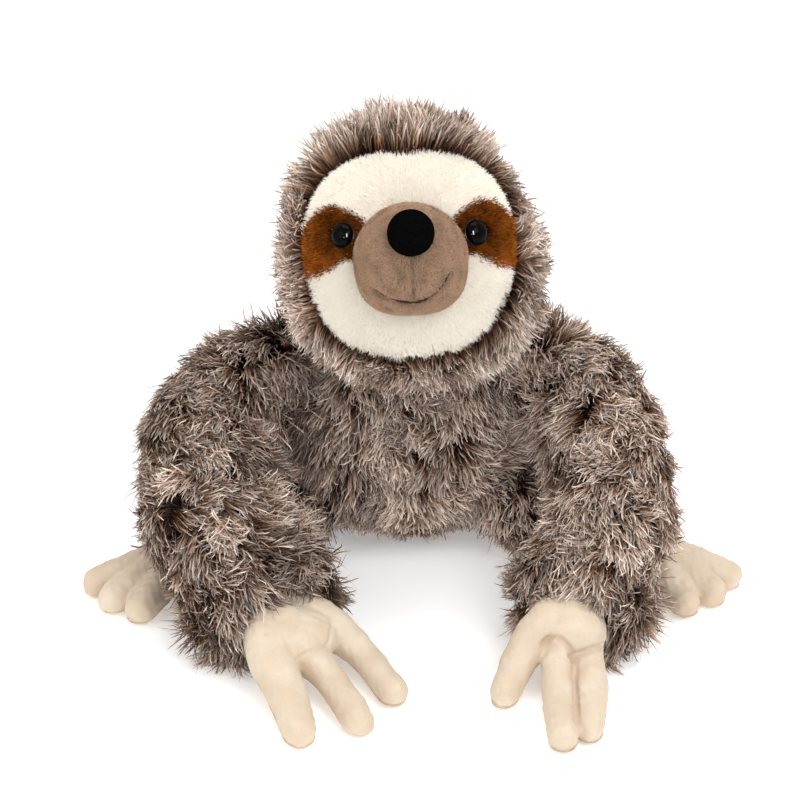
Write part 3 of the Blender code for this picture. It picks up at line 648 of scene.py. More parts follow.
def strand_mesh(name, path, width, facing, tone, taper, pale=0.0):
    """Ribbons. path is strands x places x 3, width a number for each, facing the way each one's
    broad side looks. Their normals fan out, so that each shades like a round fibre. pale is how
    far up its colours a strand starts."""
    count, places = path.shape[:2]
    along = unit(np.gradient(path, axis=1))
    side = unit(np.cross(along, facing[:, None]))
    half = side * (width[:, None] * taper[None, :])[..., None] / 2
    face = unit(np.cross(side, along))

    def paired(middle, off):
        """Two rows for each place but the last, which has one."""
        pairs = np.stack([(middle - off)[:, :-1], (middle + off)[:, :-1]], 2)
        return np.concatenate([pairs.reshape(count, -1, 3), middle[:, -1:]], 1)
    verts = paired(path, half)
    normals = unit(paired(face, side * ROUND_SHARE))
    start = np.arange(count)[:, None] * verts.shape[1]
    step = start + np.arange(places - 2)[None, :] * 2
    quads = np.stack([step, step + 1, step + 3, step + 2], -1)
    last = start + (places - 2) * 2
    tris = np.stack([last, last + 1, last + 2], -1)
    length = norm(np.diff(path, axis=1), axis=2)
    reach = np.concatenate([np.zeros((count, 1)), length.cumsum(1)], 1)
    reach /= reach[:, -1:]
    pale = np.reshape(pale, (-1, 1))
    reach = pale + (1 - pale) * reach
    v = np.concatenate([np.repeat(reach[:, :-1], 2, 1), reach[:, -1:]], 1)
    u = tone[:, None] + np.append(np.tile((-0.004, 0.004), places - 1), 0)
    uv = np.stack([np.clip(u, 0.002, 0.998), 0.01 + v * 0.98], -1)
    return new_mesh(name, verts.reshape(-1, 3), quads.reshape(-1, 4), tris.reshape(-1, 3),
                    uv.reshape(-1, 2), normals.reshape(-1, 3))


STEPS = np.array((0.0, 0.26, 0.50, 0.72, 0.90, 1.0))
TAPER = np.array((0.8, 1.0, 1.0, 0.95, 0.75, 0.0))
SWIRL, SWELL, TONE = Waves(0.040), Waves(0.024), Waves(0.026)
DOWN = np.array((0, 0, -1.0))
LOCK_GAP, HAIR_WIDTH, MAX_STRANDS = 0.0037, 0.00068, 19000
STRAY_SHARE, UNDER_SHARE = 0.11, 0.30
# How deep under the fur's form hairs are rooted, and how deep in a neighbour none is grown
ROOTS, LEG_ROOTS, HIDDEN = 0.008, 0.006, 0.014
HAIR_MOVE, PAW_CLEARANCE = 0.0035, 0.0008


def clear_of(points, solids):
    """Points moved out of each solid they are in. A solid is the centre, rows and radii of an
    ellipsoid."""
    for centre, rows, radii in solids:
        from_centre = (points - centre) @ rows.T / radii
        reach = np.maximum(norm(from_centre, axis=-1, keepdims=True), 1e-6)
        points = np.where(reach < 1, (from_centre / reach * radii) @ rows + centre, points)
    return points


def grow_fur(body, place, normal, flow, lean, length, depth=ROOTS, per_lock=34, spread=0.0046,
             tuft=0.0095, swirl=0.55, droop=0.25, tone_shift=0.0, pale=0.0, shade=0.0, solids=(),
             clump=0.20):
    """A body's long fur, in tufts of locks. Each lock has one place, normal, flow along the
    cloth, lean from the normal and length. Its strands stand on the backing round it and bend
    over side by side, towards the middle of their tuft. A strand that the solids would push
    further than HAIR_MOVE is left out."""
    locks = len(place)
    chiefs = apart(place, tuft)
    chief = norm(place[:, None] - place[chiefs][None], axis=2).argmin(1)
    to_chief = place[chiefs][chief] - place
    far = ramp(norm(to_chief, axis=1) / (0.65 * tuft))

    def shared(spread_of_tufts, spread_of_locks):
        """A random number for each lock, most of it the same all over its tuft."""
        return (RNG.normal(0, spread_of_tufts, len(chiefs))[chief]
                + RNG.normal(0, spread_of_locks, locks))
    turn = SWIRL(place[chiefs])[chief] * swirl + shared(0.38, 0.24)
    lean = np.clip(lean + shared(0.14, 0.11) + SWELL(place) * 0.08, 0.20, 1.5)
    arc = shared(0.60, 0.35)
    # Strands towards a tuft's edge are darker: painted shade in the partings between tufts.
    lock_tone = TONE(place) * 0.07 + shared(0.09, 0.07) + 0.03 - 0.06 * far ** 2
    length = length * (1.05 - 0.12 * far ** 2)
    who = np.repeat(np.arange(locks), per_lock)
    count = len(who)
    n, f = normal[who], flow[who]
    b = np.cross(n, f)
    stray = RNG.uniform(size=count) < STRAY_SHARE
    under = RNG.uniform(size=count) < UNDER_SHARE
    loose = np.where(stray, 2.6, 1.0)
    radius = spread * np.sqrt(RNG.uniform(size=count))
    angle = RNG.uniform(0, 2 * math.pi, count)
    offset = f * (radius * np.cos(angle))[:, None] + b * (radius * np.sin(angle))[:, None]

    def own(of_lock, spread_of_strands):
        return (of_lock[who] + RNG.normal(0, spread_of_strands, count) * loose)[:, None]
    own_lean = own(lean, 0.10) * np.where(under, 0.75, 1)[:, None]
    own_turn, own_arc = own(turn, 0.12), own(arc, 0.25)
    hook = RNG.normal(0, 0.9, (count, 1)) * (RNG.uniform(size=(count, 1)) < 0.25)
    middle = (STEPS[1:] + STEPS[:-1])[None] / 2
    fall = own_lean * (0.30 + 1.25 * middle)
    heading = own_turn + own_arc * middle + hook * np.maximum(middle - 0.5, 0) * 2
    way = (n[:, None] * np.cos(fall)[..., None]
           + (f[:, None] * np.cos(heading)[..., None] + b[:, None] * np.sin(heading)[..., None])
           * np.sin(fall)[..., None])
    way = unit(way + DOWN * (droop * RNG.uniform(0.4, 1.5, (count, 1)) * middle)[..., None])
    long = (length[who] * RNG.uniform(0.72, 1.08, count) * np.where(stray, 1.14, 1)
            * np.where(under, 0.70, 1))
    pieces = way * (long[:, None] * np.diff(STEPS)[None])[..., None]
    root = place[who] - n * depth + offset
    path = np.concatenate([root[:, None], root[:, None] + pieces.cumsum(1)], 1)
    pull = to_chief[who] * clump - offset * RNG.uniform(0.1, 0.5, (count, 1))
    pull = pull * ~under[:, None]
    path = path + pull[:, None] * (STEPS ** 1.5)[None, :, None]
    path[:, 1:] += RNG.normal(0, 0.00020, path[:, 1:].shape)
    cleared = clear_of(path[:, 2:], solids)
    free = norm(cleared - path[:, 2:], axis=2).max(1) < HAIR_MOVE
    path[:, 2:] = cleared
    low = 0.0004 + 0.0012 * RNG.uniform(size=(count, 1))
    path[..., 2] = np.where(path[..., 2] < low, low + 0.1 * abs(path[..., 2]), path[..., 2])
    facing = turned(n, way[:, 0], RNG.normal(0, 0.6, count))
    # Under strands are darker as painted shade deep in the coat. shade, where given, is painted
    # light and painted shade added to each lock's tone.
    tone = (0.57 + tone_shift + lock_tone[who] + RNG.normal(0, 0.25, count)
            - np.where(under, 0.27, 0) + np.broadcast_to(shade, locks)[who])
    tone = np.clip(tone, 0.01, 0.99)
    wide = HAIR_WIDTH * RNG.uniform(0.55, 1.3, count)
    rank = RNG.permutation(locks)
    pale = np.broadcast_to(pale, locks)[who]
    parts = math.ceil(count / MAX_STRANDS)
    for index in range(parts):
        chosen = (rank[who] % parts == index) & free
        part = f"{body}_fur_{index + 1}" if parts > 1 else f"{body}_fur"
        mesh = strand_mesh(part, path[chosen], wide[chosen], facing[chosen], tone[chosen], TAPER,
                           pale[chosen])
        new_piece(part, mesh, FUR, body, () if index else (f"{body}_cover",))


def egg(up):
    """How wide the face is at a height, as a share: wider at the brow than at the chin."""
    return 0.965 + 0.060 * up / FACE_HALF[1]


def tall(up):
    """How far the face's outline reaches up, or down, from its middle."""
    return FACE_HALF[1] * np.where(up > 0, 1.035, 1)


def face_rim(flat):
    """Below 1 inside the face's outline, at places across and up."""
    return (abs(flat[:, 0] / FACE_HALF[0] / egg(flat[:, 1])) ** SQUARENESS
            + abs(flat[:, 1] / tall(flat[:, 1])) ** SQUARENESS)


def head_fur():
    outer = skin([head_grid()], 0.003, 2)
    p, n = spaced(outer, LOCK_GAP * 0.9)
    root = (p - n * ROOTS - HEAD_CENTRE) @ HEAD_TURN
    rim = face_rim(root[:, [0, 2]])
    keep = ~((root[:, 1] < 0) & (rim < 1.0)) & ~in_torso(p, -0.010)
    p, n, root, rim = p[keep], n[keep], root[keep], rim[keep]
    local = (p - HEAD_CENTRE) @ HEAD_TURN
    front = ramp((2.2 - rim) / 0.8) * (root[:, 1] < 0)
    back = HEAD_TURN @ np.array((0, 1.0, 0))
    ahead = np.clip(-local[:, 1] / HEAD_RADII[1], -1, 1)[:, None]
    share = np.clip(0.5 + ahead, 0.15, 1)
    f = tangent(back * share + DOWN * (1.05 - 0.60 * share), n)
    crown = ramp(local[:, 2] / HEAD_RADII[2])
    chin = ramp(-local[:, 2] / HEAD_RADII[2] * 1.6 - 0.3) * (local[:, 1] < 0.01)
    to_left, to_right = ramp(-n[:, 0]), ramp(n[:, 0])
    cheek = to_right * ramp(0.4 - local[:, 2] / 0.03)
    lean = 0.98 - 0.60 * crown ** 2 - 0.20 * chin - 0.35 * cheek
    corner = local / HEAD_RADII - np.array((-0.72, -0.15, 0.62))
    horn = np.exp(-(corner ** 2).sum(1) / 0.03)
    peaks = np.cos((p[:, 0] + 0.006) * 2 * math.pi / 0.032) * crown ** 2
    length = (0.0180 + 0.0050 * crown ** 2 + 0.0023 * peaks + 0.0030 * cheek - 0.0020 * chin
              - 0.0020 * front - 0.0035 * to_right * crown + 0.0030 * to_left * crown
              + 0.0060 * horn)
    # shade lightens the locks on the head's left side below the crown: painted light.
    grow_fur("head", p, n, f, lean, length, per_lock=25, spread=0.0042, tuft=0.0090, swirl=1.0,
             droop=0.15, tone_shift=0.06, pale=0.27 * front,
             shade=0.08 * to_left * (1 - crown), clump=0.28)
    add_backing(outer, "head", ROOTS)


def torso_fur():
    neck = ball_grid(31, 60) * NECK_RADIUS + NECK_PIVOT
    outer = skin([torso_grid(), neck], 0.003, 4)
    p, n = spaced(outer, LOCK_GAP)
    keep = (p[:, 2] > 0.004) & ~in_head(p, -HIDDEN)
    for side in SIDES:
        keep &= ~in_tube(p, arm_path(side), -HIDDEN) & ~in_tube(p, leg_path(side), -0.008)
    p, n = p[keep], n[keep]
    f = tangent(DOWN + n * 0.2 + RNG.normal(0, 0.05, p.shape), n)
    flank = ramp((abs(n[:, 0]) - 0.55) / 0.35)
    low = ramp((0.040 - p[:, 2]) / 0.026)
    lean = 0.88 - 0.15 * flank + 0.40 * low
    length = 0.0215 + 0.0070 * flank * (1 - low) - 0.0105 * low
    grow_fur("torso", p, n, f, lean, length, tone_shift=0.03)
    add_backing(outer, "torso", ROOTS)


def balls_along(digits):
    """Balls that fill most of each digit, a little wider than it."""
    rows = [row for digit in digits for row in smooth_path(digit, 4)]
    return [(row[:3], np.eye(3), row[3] + PAW_CLEARANCE) for index, row in enumerate(rows)
            if index % 13 < 10]


# How much longer the fur is low on a forearm, and on a limb's inner side
LOW = {"left": 0.0090, "right": 0.0120}
INNER = {"left": 0.0050, "right": -0.0010}
# How much each limb's fur tone is shifted: painted shade on the left arm, painted light on the
# right arm.
LIMB_PAINTED_LIGHT_AND_SHADE = {"arm_left": -0.14, "arm_right": 0.04, "leg_left": 0.0, "leg_right": 0.0}


def limb_fur(kind, side, path, digits, root_radius, depth, length, palms=()):
    body = f"{kind}_{side}"
    path = shortened(path)
    outer = skin([tube_grid(path)], 0.002, 4)
    p, n = spaced(outer, LOCK_GAP)
    line = smooth_path(path, 10)
    nearest = norm(p[:, None] - line[None, :, :3], axis=2).argmin(1)
    direction = unit(np.gradient(line[:, :3], axis=0))[nearest]
    share = nearest / (len(line) - 1)
    keep = (p[:, 2] > 0.0015) & ~in_torso(p, -0.015) & ~in_head(p, -HIDDEN)
    end = path[-1, :3]
    keep &= norm(p - (end + unit(end - path[-2, :3]) * CUFF_BACK), axis=1) > root_radius
    solids = [*palms, *balls_along(digits)]
    keep &= (clear_of(p, solids) == p).all(1)
    for digit in digits:
        keep &= ~in_tube(p, digit, 0.001)
    p, n, direction, share = p[keep], n[keep], direction[keep], share[keep]
    f = tangent(direction + DOWN * 0.45, n)
    out = SIDES[side]
    up = ramp(n[:, 2])
    cuff = ramp((share - 0.80) / 0.15)
    top = ramp(1 - share / 0.22) * up
    inner = ramp(-out * n[:, 0])
    high = (ramp(n @ np.array((out * 0.75, 0, 0.65))) * ramp(share / 0.15 - 0.5)
            * ramp((0.60 - share) / 0.15))
    low = (ramp((share - 0.62) / 0.15) * ramp(1 - p[:, 2] / 0.045)
           * ramp(0.4 + out * n[:, 0]))
    flank = ramp(n @ np.array((out * 0.8, -0.4, -0.45))) * (1 - cuff) * (1 - low)
    lean = 0.98 + 0.10 * cuff - 0.20 * top + 0.22 * high + 0.34 * flank - 0.45 * low
    long = (length + 0.0054 * top + 0.0060 * cuff * up - 0.0022 * high - 0.0034 * flank
            + inner * np.where(share > 0.3, INNER[side], 0.0045) + LOW[side] * low)
    # shade lightens the fur on the top of the shoulder and darkens it at the wrist end: painted
    # light and painted shade.
    grow_fur(body, p, n, f, lean, long, depth, tone_shift=LIMB_PAINTED_LIGHT_AND_SHADE[body],
             shade=0.10 * top - 0.12 * ramp((share - 0.92) / 0.06), solids=solids)
    add_backing(outer, body, depth)


# Face

def inside_outline(points, outline):
    """Which flat points lie in a closed outline."""
    x, y = points[:, 0], points[:, 1]
    inside = np.zeros(len(points), bool)
    for (ax, ay), (bx, by) in zip(outline, np.roll(outline, -1, 0)):
        cross = (ay > y) != (by > y)
        with np.errstate(divide="ignore", invalid="ignore"):
            inside ^= cross & (x < (bx - ax) * (y - ay) / (by - ay) + ax)
    return inside


def patch_outline(side):
    points = np.array(PATCH_SHAPE) * PATCH_WIDTH
    return smooth_path(np.vstack([points, points[0]]), 6)[:-1] * (SIDES[side], 1)


def on_front(flat, radii):
    """Points on the front of an ellipsoid, from places across and up."""
    flat = np.asarray(flat)
    rest = np.maximum(1 - (flat[:, 0] / radii[0]) ** 2 - (flat[:, 1] / radii[2]) ** 2, 0.01)
    return np.stack([flat[:, 0], -radii[1] * np.sqrt(rest), flat[:, 1]], -1)


def from_middle(across, up, normal):
    """The way along the surface, out from a little above the middle of the face."""
    return tangent(np.stack([across, 0 * across, up - 0.012], -1) + 1e-6, normal)


def from_eye(flat, side):
    return np.hypot(flat[:, 0] - SIDES[side] * EYE_OUT, flat[:, 1] - EYE_UP[side])


def to_world(local):
    return local @ HEAD_TURN.T + HEAD_CENTRE


def short_pile(name, local, normal, flow, length, width, tone, paint, replaced, lean):
    """Short plush: one ribbon of two steps for each root, in the head's own axes."""
    count = len(local)
    tilt = lean + RNG.normal(0, 0.25, count)
    flow = turned(flow, normal, RNG.normal(0, 0.6, count))
    start = unit(normal * np.cos(tilt * 0.5)[:, None] + flow * np.sin(tilt * 0.5)[:, None])
    end = unit(normal * np.cos(tilt * 1.5)[:, None] + flow * np.sin(tilt * 1.5)[:, None])
    t = np.array((0.0, 0.55, 1.0))[None, :, None]
    long = length * RNG.uniform(0.7, 1.15, count)
    path = (local[:, None] + long[:, None, None]
            * (start[:, None] * (t - t ** 2 / 2) + end[:, None] * t ** 2 / 2))
    facing = turned(normal, start, RNG.normal(0, 0.9, count))
    wide = width * RNG.uniform(0.6, 1.3, count)
    mesh = strand_mesh(name, to_world(path), wide, facing @ HEAD_TURN.T,
                       np.clip(tone, 0.01, 0.99), np.array((1.0, 0.9, 0.0)))
    new_piece(name, mesh, paint, "head", replaced)


STREAK, NAP = Waves(0.0080), Waves(0.0080)


FACE_RINGS, FACE_POINTS, FACE_CLOTH = 29, 160, 0.0035
FACE_SPOTS, MUZZLE_SPOTS = 116000, 104000


def face():
    turn = round_turn(FACE_POINTS)
    edge = np.stack([np.cos(turn), np.sin(turn)], -1)
    edge = np.sign(edge) * abs(edge) ** (2 / SQUARENESS) * FACE_HALF
    edge *= np.stack([egg(edge[:, 1]), tall(edge[:, 1]) / FACE_HALF[1]], -1)
    rings = np.linspace(0.0, 1.0, FACE_RINGS + 1)[1:, None, None] * edge[None]
    flat = np.vstack([rings.reshape(-1, 2), (0, 0)])
    base = PANEL - 0.0012
    size = len(flat)
    quads = grid_faces(FACE_RINGS, FACE_POINTS)
    here = np.arange(FACE_POINTS)
    ahead = (here + 1) % FACE_POINTS
    fan = np.stack([np.full(FACE_POINTS, size - 1), here, ahead], -1)
    wall = (FACE_RINGS - 1) * FACE_POINTS + np.stack([here, ahead, size + ahead, size + here], -1)
    points = np.vstack([on_front(flat, base), on_front(flat, base - FACE_CLOTH)])
    mesh = new_mesh("face_cloth", to_world(points), np.vstack([quads, quads[:, ::-1] + size, wall]),
                    np.vstack([fan, fan[:, ::-1] + size]))
    new_piece("face_cloth", mesh, cloth_material("face_cloth", ("eee0c8", "f5ead8"), 90), "head",
              ("face_panel",))

    spots = RNG.uniform(-1, 1, (FACE_SPOTS, 2)) * FACE_HALF * 1.06
    spots = spots[face_rim(spots) < 1.04]
    from_muzzle = ((spots[:, 0] / (MUZZLE_RADII[0] - 0.001)) ** 2
                   + ((spots[:, 1] - MUZZLE_CENTRE[2]) / (MUZZLE_RADII[2] - 0.001)) ** 2)
    clear = from_muzzle > 0.97
    for side in SIDES:
        clear &= from_eye(spots, side) > EYE_RADIUS
    spots = spots[clear]
    local = on_front(spots, base)
    normal = unit(local / base ** 2)
    outward = from_middle(spots[:, 0], spots[:, 1], normal)
    wander = RNG.normal(0, 0.0008, spots.shape)
    in_patch = {side: inside_outline(spots + wander, patch_outline(side)) for side in SIDES}
    cream = ~in_patch["left"] & ~in_patch["right"]
    tone = 0.5 + RNG.normal(0, 0.2, len(spots))
    short_pile("face_pile", local[cream], normal[cream], outward[cream], 0.0032, 0.00036,
               tone[cream], FACE, ("face_panel",), 0.95)
    for side in SIDES:
        here = in_patch[side]
        shade = ramp((from_eye(spots, side) - EYE_RADIUS) / 0.012)
        low = np.clip((spots[:, 1] - EYE_UP[side]) / 0.02, -1, 1)
        tone = (0.22 + 0.46 * shade - 0.08 * low + 0.07 * STREAK(local)
                + RNG.normal(0, 0.20, len(spots)))
        for copy in range(2):
            short_pile(f"eye_patch_{side}_pile_{copy + 1}",
                       local[here] + RNG.normal(0, 0.0003, local[here].shape), normal[here],
                       outward[here], 0.0034, 0.00034, tone[here], PATCH,
                       (f"eye_patch_{side}",), 0.7)


def lathe(name, profile, segments, centre, axis, closed=False):
    """A profile of radius and height turned about an axis through a centre."""
    profile = np.array(profile, float)
    turn = round_turn(segments)
    grid = np.stack([profile[:, None, 0] * np.cos(turn), profile[:, None, 0] * np.sin(turn),
                     profile[:, None, 1] + 0 * turn], -1)
    spin = np.array(Vector(axis).to_track_quat("Z", "Y").to_matrix())
    grid = grid @ spin.T + np.array(centre)
    if closed:
        grid = np.concatenate([grid, grid[:1]])
        faces = grid_faces(len(grid), segments)
        faces = faces % ((len(grid) - 1) * segments)
        return new_mesh(name, grid[:-1].reshape(-1, 3), faces)
    return closed_mesh(name, grid)


def eyes():
    for side, sign in SIDES.items():
        seat = on_front([(sign * EYE_OUT, EYE_UP[side])], PANEL)[0]
        normal = unit(seat / PANEL ** 2)
        seat = to_world(seat + normal * 0.0003)
        axis = HEAD_TURN @ normal
        turns = np.linspace(0.0, math.pi / 2, 18)
        dome = [(EYE_RADIUS * math.sin(a), EYE_RIM + (EYE_DOME - EYE_RIM) * math.cos(a))
                for a in turns]
        dome[0] = (0.00005, dome[0][1])  # not quite on the axis, which closed_mesh fans to
        profile = dome + [(EYE_RADIUS + 0.0001, 0.0004), (EYE_RADIUS, 0.0), (SHANK[0], 0.0),
                          (SHANK[0], SHANK[0] / 2 - SHANK[1]), (SHANK[0] / 2, -SHANK[1])]
        mesh = lathe(f"eye_{side}_dome", profile, 48, seat, axis)
        new_piece(f"eye_{side}_dome", mesh, EYE, "head", (f"eye_{side}",))
        ring = [(EYE_RADIUS + 0.0001, 0.0002), (EYE_RADIUS + 0.0006, 0.0002),
                (EYE_RADIUS + 0.0005, 0.0008), (EYE_RADIUS + 0.0001, 0.0010)]
        mesh = lathe(f"eye_{side}_rim", ring, 48, seat, axis, closed=True)
        new_piece(f"eye_{side}_rim", mesh, RIM, "head")


def muzzle_relief(across, up):
    """How far the muzzle's front stands out: a seam below the nose, a crease along the smile,
    full cheeks and a soft lower lip."""
    line = smooth_path(np.array(MOUTH) * MOUTH_WIDTH, 8)
    gap = np.hypot(across[:, None] - line[None, :, 0], up[:, None] - line[None, :, 1]).min(1)
    below = ramp((up + 0.0175) / 0.002) * ramp((0.004 - up) / 0.002)
    seam = np.exp(-(across / 0.0010) ** 2) * below
    crease = np.exp(-(gap / 0.0011) ** 2)
    cheeks = np.exp(-((abs(across) - 0.009) / 0.006) ** 2 - ((up + 0.009) / 0.007) ** 2)
    lip = np.exp(-(across / 0.009) ** 2 - ((up + 0.0212) / 0.0022) ** 2)
    return 0.0013 * cheeks + 0.0009 * lip - 0.0011 * seam - 0.0011 * crease, seam, crease


def squared(points):
    """Points of a ball drawn out towards the corners of its front view, the lower two most."""
    flat = points[..., [0, 2]]
    power = 2.35 - 0.35 * np.clip(points[..., 2] * 2, -1, 1)
    shape = (abs(flat) ** power[..., None]).sum(-1) ** (1 / power)
    grow = np.hypot(flat[..., 0], flat[..., 1]) / np.maximum(shape, 1e-9)
    return points * np.stack([grow, np.ones_like(grow), grow], -1)


def muzzle():
    grid = squared(ball_grid(61, 80)).reshape(-1, 3)
    local = grid * (MUZZLE_RADII - 0.0010)
    relief = muzzle_relief(local[:, 0], local[:, 2])[0] * (local[:, 1] < 0)
    local += unit(local / MUZZLE_RADII ** 2) * relief[:, None]
    cloth = to_world(local.reshape(61, 80, 3) + MUZZLE_CENTRE)
    mesh = closed_mesh("muzzle_cloth", cloth[1:-1])
    paint = cloth_material("muzzle_cloth", ("7a604c", "8c705a"), 220)
    new_piece("muzzle_cloth", mesh, paint, "head", ("muzzle_stuffing",))
    turn = unit(RNG.normal(size=(MUZZLE_SPOTS, 3)))
    turn = squared(turn[turn[:, 1] < 0.1])
    local = turn * (MUZZLE_RADII - 0.0008)
    normal = unit(local / MUZZLE_RADII ** 2)
    nose = on_front([(0, NOSE_RISE)], MUZZLE_RADII)[0]
    clear = norm(local - nose, axis=1) > NOSE_RADIUS - 0.001
    normal, local = normal[clear], local[clear]
    relief, seam, crease = muzzle_relief(local[:, 0], local[:, 2])
    place = local + normal * relief[:, None] + MUZZLE_CENTRE
    away = from_middle(local[:, 0], local[:, 2], normal)
    # The pile is darker along the seam below the nose and along the smile's crease: painted shade
    # in these grooves.
    tone = (0.5 + 0.13 * NAP(local) + RNG.normal(0, 0.13, len(place))
            - 0.12 * seam - 0.36 * crease)
    short_pile("muzzle_pile", place, normal, away, 0.0016, 0.00030, tone, MUZZLE,
               ("muzzle_cover",), 0.9)


def nose_and_smile():
    seat = on_front([(0, NOSE_RISE)], MUZZLE_RADII)[0]
    normal = unit(seat / MUZZLE_RADII ** 2)
    grid = ball_grid(41, 60)[1:-1] * NOSE_RADIUS + (MUZZLE_CENTRE + seat + normal * NOSE_PROUD)
    mesh = closed_mesh("nose_flock", to_world(grid))
    new_piece("nose_flock", mesh, NOSE, "head", ("nose",))

    flat = smooth_path(np.array(MOUTH) * MOUTH_WIDTH, 8)
    flat += RNG.normal(0, 0.00012, flat.shape)
    line = on_front(flat, MUZZLE_RADII + 0.0009)
    ends = np.clip(np.minimum(np.arange(len(line)), np.arange(len(line))[::-1]) / 6, 0.3, 1)
    thick = 0.00052 * ends * RNG.uniform(0.6, 1.3, len(line))
    line = np.column_stack([to_world(line + MUZZLE_CENTRE), thick])
    mesh = closed_mesh("smile_stitching", tube_grid(line, sides=10, steps=1))
    new_piece("smile_stitching", mesh, THREAD, "head", ("mouth_stitching",))


# Hands, feet and seams

def leaning(centre, radii, axis_ahead, rise):
    """The centre, rows and radii of an ellipsoid turned to look along axis_ahead."""
    ahead = unit(np.array((*axis_ahead, math.tan(rise))))
    across = unit(np.cross(ahead, (0, 0, 1)))
    return centre, np.stack([across, ahead, np.cross(across, ahead)]), np.array(radii)


def ellipsoid_grid(centre, rows, radii):
    return ball_grid(31, 48) * radii @ rows + centre


def edge_seam(body, digits):
    """The seam between a paw's back and its sole, low round the front part of each digit."""
    grids = []
    for digit in digits:
        rings = smooth_path(digit, 8)
        rings = rings[int(len(rings) * (1 - EDGE_SHARE)):]
        along = unit(np.gradient(rings[:, :3], axis=0))
        across = unit(np.cross(along, (0, 0, 1)))
        tip, radius = rings[-1, :3], rings[-1, 3]
        out = rings[:, 3:] * math.cos(EDGE_FALL) * 0.98
        low = np.array((0, 0, 1)) * rings[:, 3:] * math.sin(EDGE_FALL)
        turns = np.linspace(math.pi / 2, -math.pi / 2, 15)[1:-1, None]
        cap = (tip + radius * math.cos(EDGE_FALL) * 0.95 * (
            across[-1] * np.sin(turns) + along[-1] * np.cos(turns) * 0.96) + low[-1])
        loop = np.vstack([rings[:, :3] + across * out + low, cap,
                          (rings[:, :3] - across * out + low)[::-1]])
        loop[:, 2] = np.maximum(loop[:, 2], 0.0008)
        wide = EDGE_THICK * RNG.uniform(0.8, 1.2, len(loop))
        grids.append(tube_grid(np.column_stack([loop, wide]), 8, 2))
    name = f"{body}_edge"
    new_piece(name, closed_mesh(name, *grids), EDGE, body)


def paw(name, root, radius, digits, extra=(), folds=()):
    """A hand or foot: its stuffed digits and root grown together, with soft folds. A fold is a
    line in millimetres from the root, its width and its depth."""
    grids = [tube_grid(digit, sides=28, steps=8, flat_end=0.98) for digit in digits]
    made = skin([*grids, ball_grid(21, 32) * radius + root, *extra], 0.0008, 3)
    made.name = f"{name}_suede"
    points, normals = mesh_points(made), mesh_normals(made)
    move = WRINKLE(points) * 0.00022 + DIMPLE(points) * 0.00010
    for fold, wide, deep in folds:
        line = smooth_path(root + np.array(fold) * 0.001, 8)
        gap = norm(points[:, None] - line[None], axis=2).min(1)
        move -= deep * np.exp(-(gap / wide) ** 2)
    set_points(made, points + normals * move[:, None], SKIN_FLOOR)
    new_piece(f"{name}_suede", made, SUEDE, name,
              (f"{name}_cover", f"{name}_stuffing"))
    edge_seam(name, digits)


WRINKLE, DIMPLE = Waves(0.014), Waves(0.0045)
EDGE_SHARE, EDGE_FALL, EDGE_THICK = 0.55, -0.45, 0.00032
SEAT_GAP, SEAT_SIDES, SEAM_THICK, SEAM_REACH = 0.0003, 20, 0.0016, 20


def seam_ring(name, centre, axis, root, start):
    """Doubled cloth round the ball seat of a root, from start degrees off the axis on."""
    inner = (root + SEAT_GAP) / math.cos(math.pi / SEAT_SIDES) ** 2
    turns = np.radians(np.linspace(start, start + SEAM_REACH, 9))
    profile = [(radius * math.sin(a), radius * math.cos(a))
               for radius, angles in ((inner + SEAM_THICK, turns), (inner, turns[::-1]))
               for a in angles]
    mesh = lathe(f"{name}_cloth", profile, 72, centre, axis, closed=True)
    new_piece(f"{name}_cloth", mesh, SEAM, name, (name,))


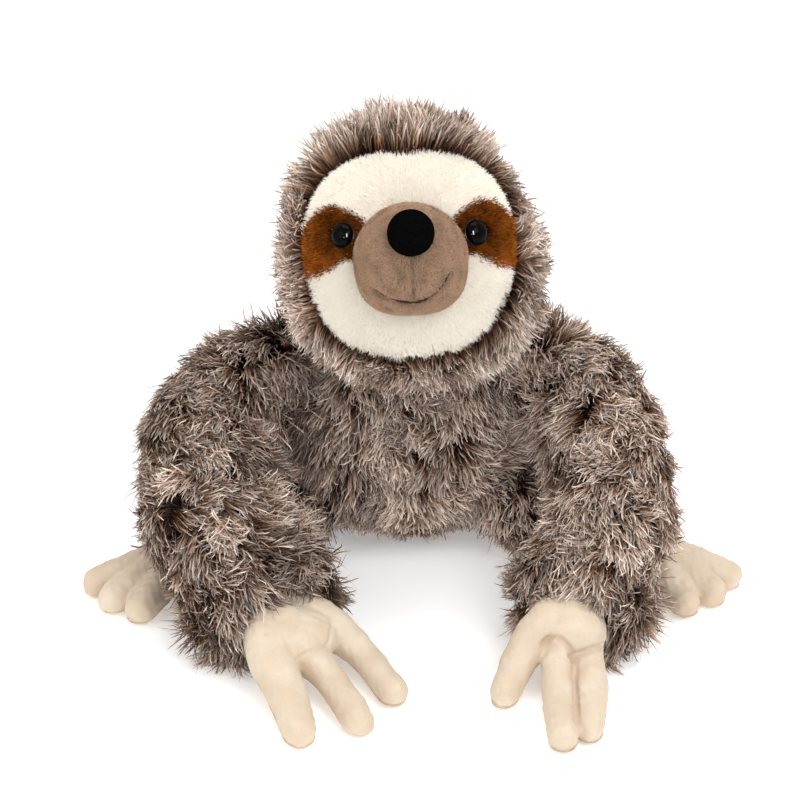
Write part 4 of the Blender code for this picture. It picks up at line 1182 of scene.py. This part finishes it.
# The ellipsoid that fills each palm, and the folds pressed into each hand
PALMS = {
    "left": leaning(WRIST["left"] + (0.011, -0.018, -0.006), (0.0205, 0.0165, 0.0110),
                    (0.45, -0.9), -0.25),
    "right": leaning(WRIST["right"] + (-0.0042, -0.0145, -0.0050), (0.0162, 0.0172, 0.0146),
                     (-0.1, -1.0), -0.5),
}
FOLDS = {
    "left": (
        (((11.5, -36.5, -6.8), (14.3, -34.9, -5.4), (17.1, -34.3, -4.4), (21.0, -32.1, -4.4),
          (23.7, -29.0, -5.5), (25.6, -25.8, -4.8), (26.3, -22.5, -2.2), (27.0, -17.1, -0.9)),
         0.0009, 0.0009),
    ),
    "right": (
        (((-17.1, -26.7, -5.2), (-14.7, -26.5, -2.0), (-11.3, -28.4, -0.7), (-8.5, -29.6, -2.0),
          (-6.0, -30.8, -4.6), (-4.3, -32.5, -9.4)), 0.0013, 0.0024),
        (((-4.3, -32.5, -9.4), (-2.0, -31.1, -7.4), (1.6, -30.1, -6.8), (5.4, -27.9, -6.5),
          (9.8, -22.5, -8.0)), 0.0013, 0.0024),
        (((-4.1, -36.1, -12.0), (-4.3, -47.6, -14.4), (-4.7, -59.7, -16.2), (-5.2, -69.9, -17.3)),
         0.0011, 0.0020),
    ),
}


def lowered(side):
    """The digits as they show: the right hand's middle and outer fingers come out low."""
    shapes = [list(shape) for shape in FINGERS[side]]
    if side == "right":
        shapes[1][1], shapes[2][1] = (-0.11, 0.22, 0.45, 1.10), (0.03, 0.20, 0.50, 1.10)
    return [finger(shape, side) for shape in shapes]


def limbs(side):
    """An arm and a leg on one side, with their hand, foot and seams."""
    hand, foot = WRIST[side], ANKLE[side]
    centre, rows, radii = PALMS[side]
    limb_fur("arm", side, arm_path(side), HANDS[side], HAND_ROOT, ROOTS, 0.0215,
             [(centre, rows, radii + PAW_CLEARANCE), (hand, np.eye(3), HAND_ROOT)])
    limb_fur("leg", side, leg_path(side), FEET[side], FOOT_ROOT, LEG_ROOTS, 0.0165)
    paw(f"hand_{side}", hand, HAND_ROOT, lowered(side), [ellipsoid_grid(*PALMS[side])],
        FOLDS[side])
    paw(f"foot_{side}", foot, FOOT_ROOT, FEET[side])
    seam_ring(f"shoulder_seam_{side}", SHOULDER[side], (SIDES[side], 0, 0), ARM_ROOT, 127)
    seam_ring(f"hip_seam_{side}", HIP[side], HIP_OUT[side], LEG_ROOT, 127)


torso_fur()
head_fur()
for side_name in SIDES:
    limbs(side_name)
seam_ring("neck_seam", NECK_PIVOT, (0, 0, 1), NECK_RADIUS, 30)
face()
eyes()
muzzle()
nose_and_smile()

WASHER = cloth_material("washer_plastic", ("b0b0ab", "c4c4be"), 300, 0.4, 0.0, 0.00005)
for side_name in SIDES:
    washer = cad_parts[f"eye_washer_{side_name}"]
    washer.data.materials.clear()
    washer.data.materials.append(WASHER)

bpy.context.view_layer.update()
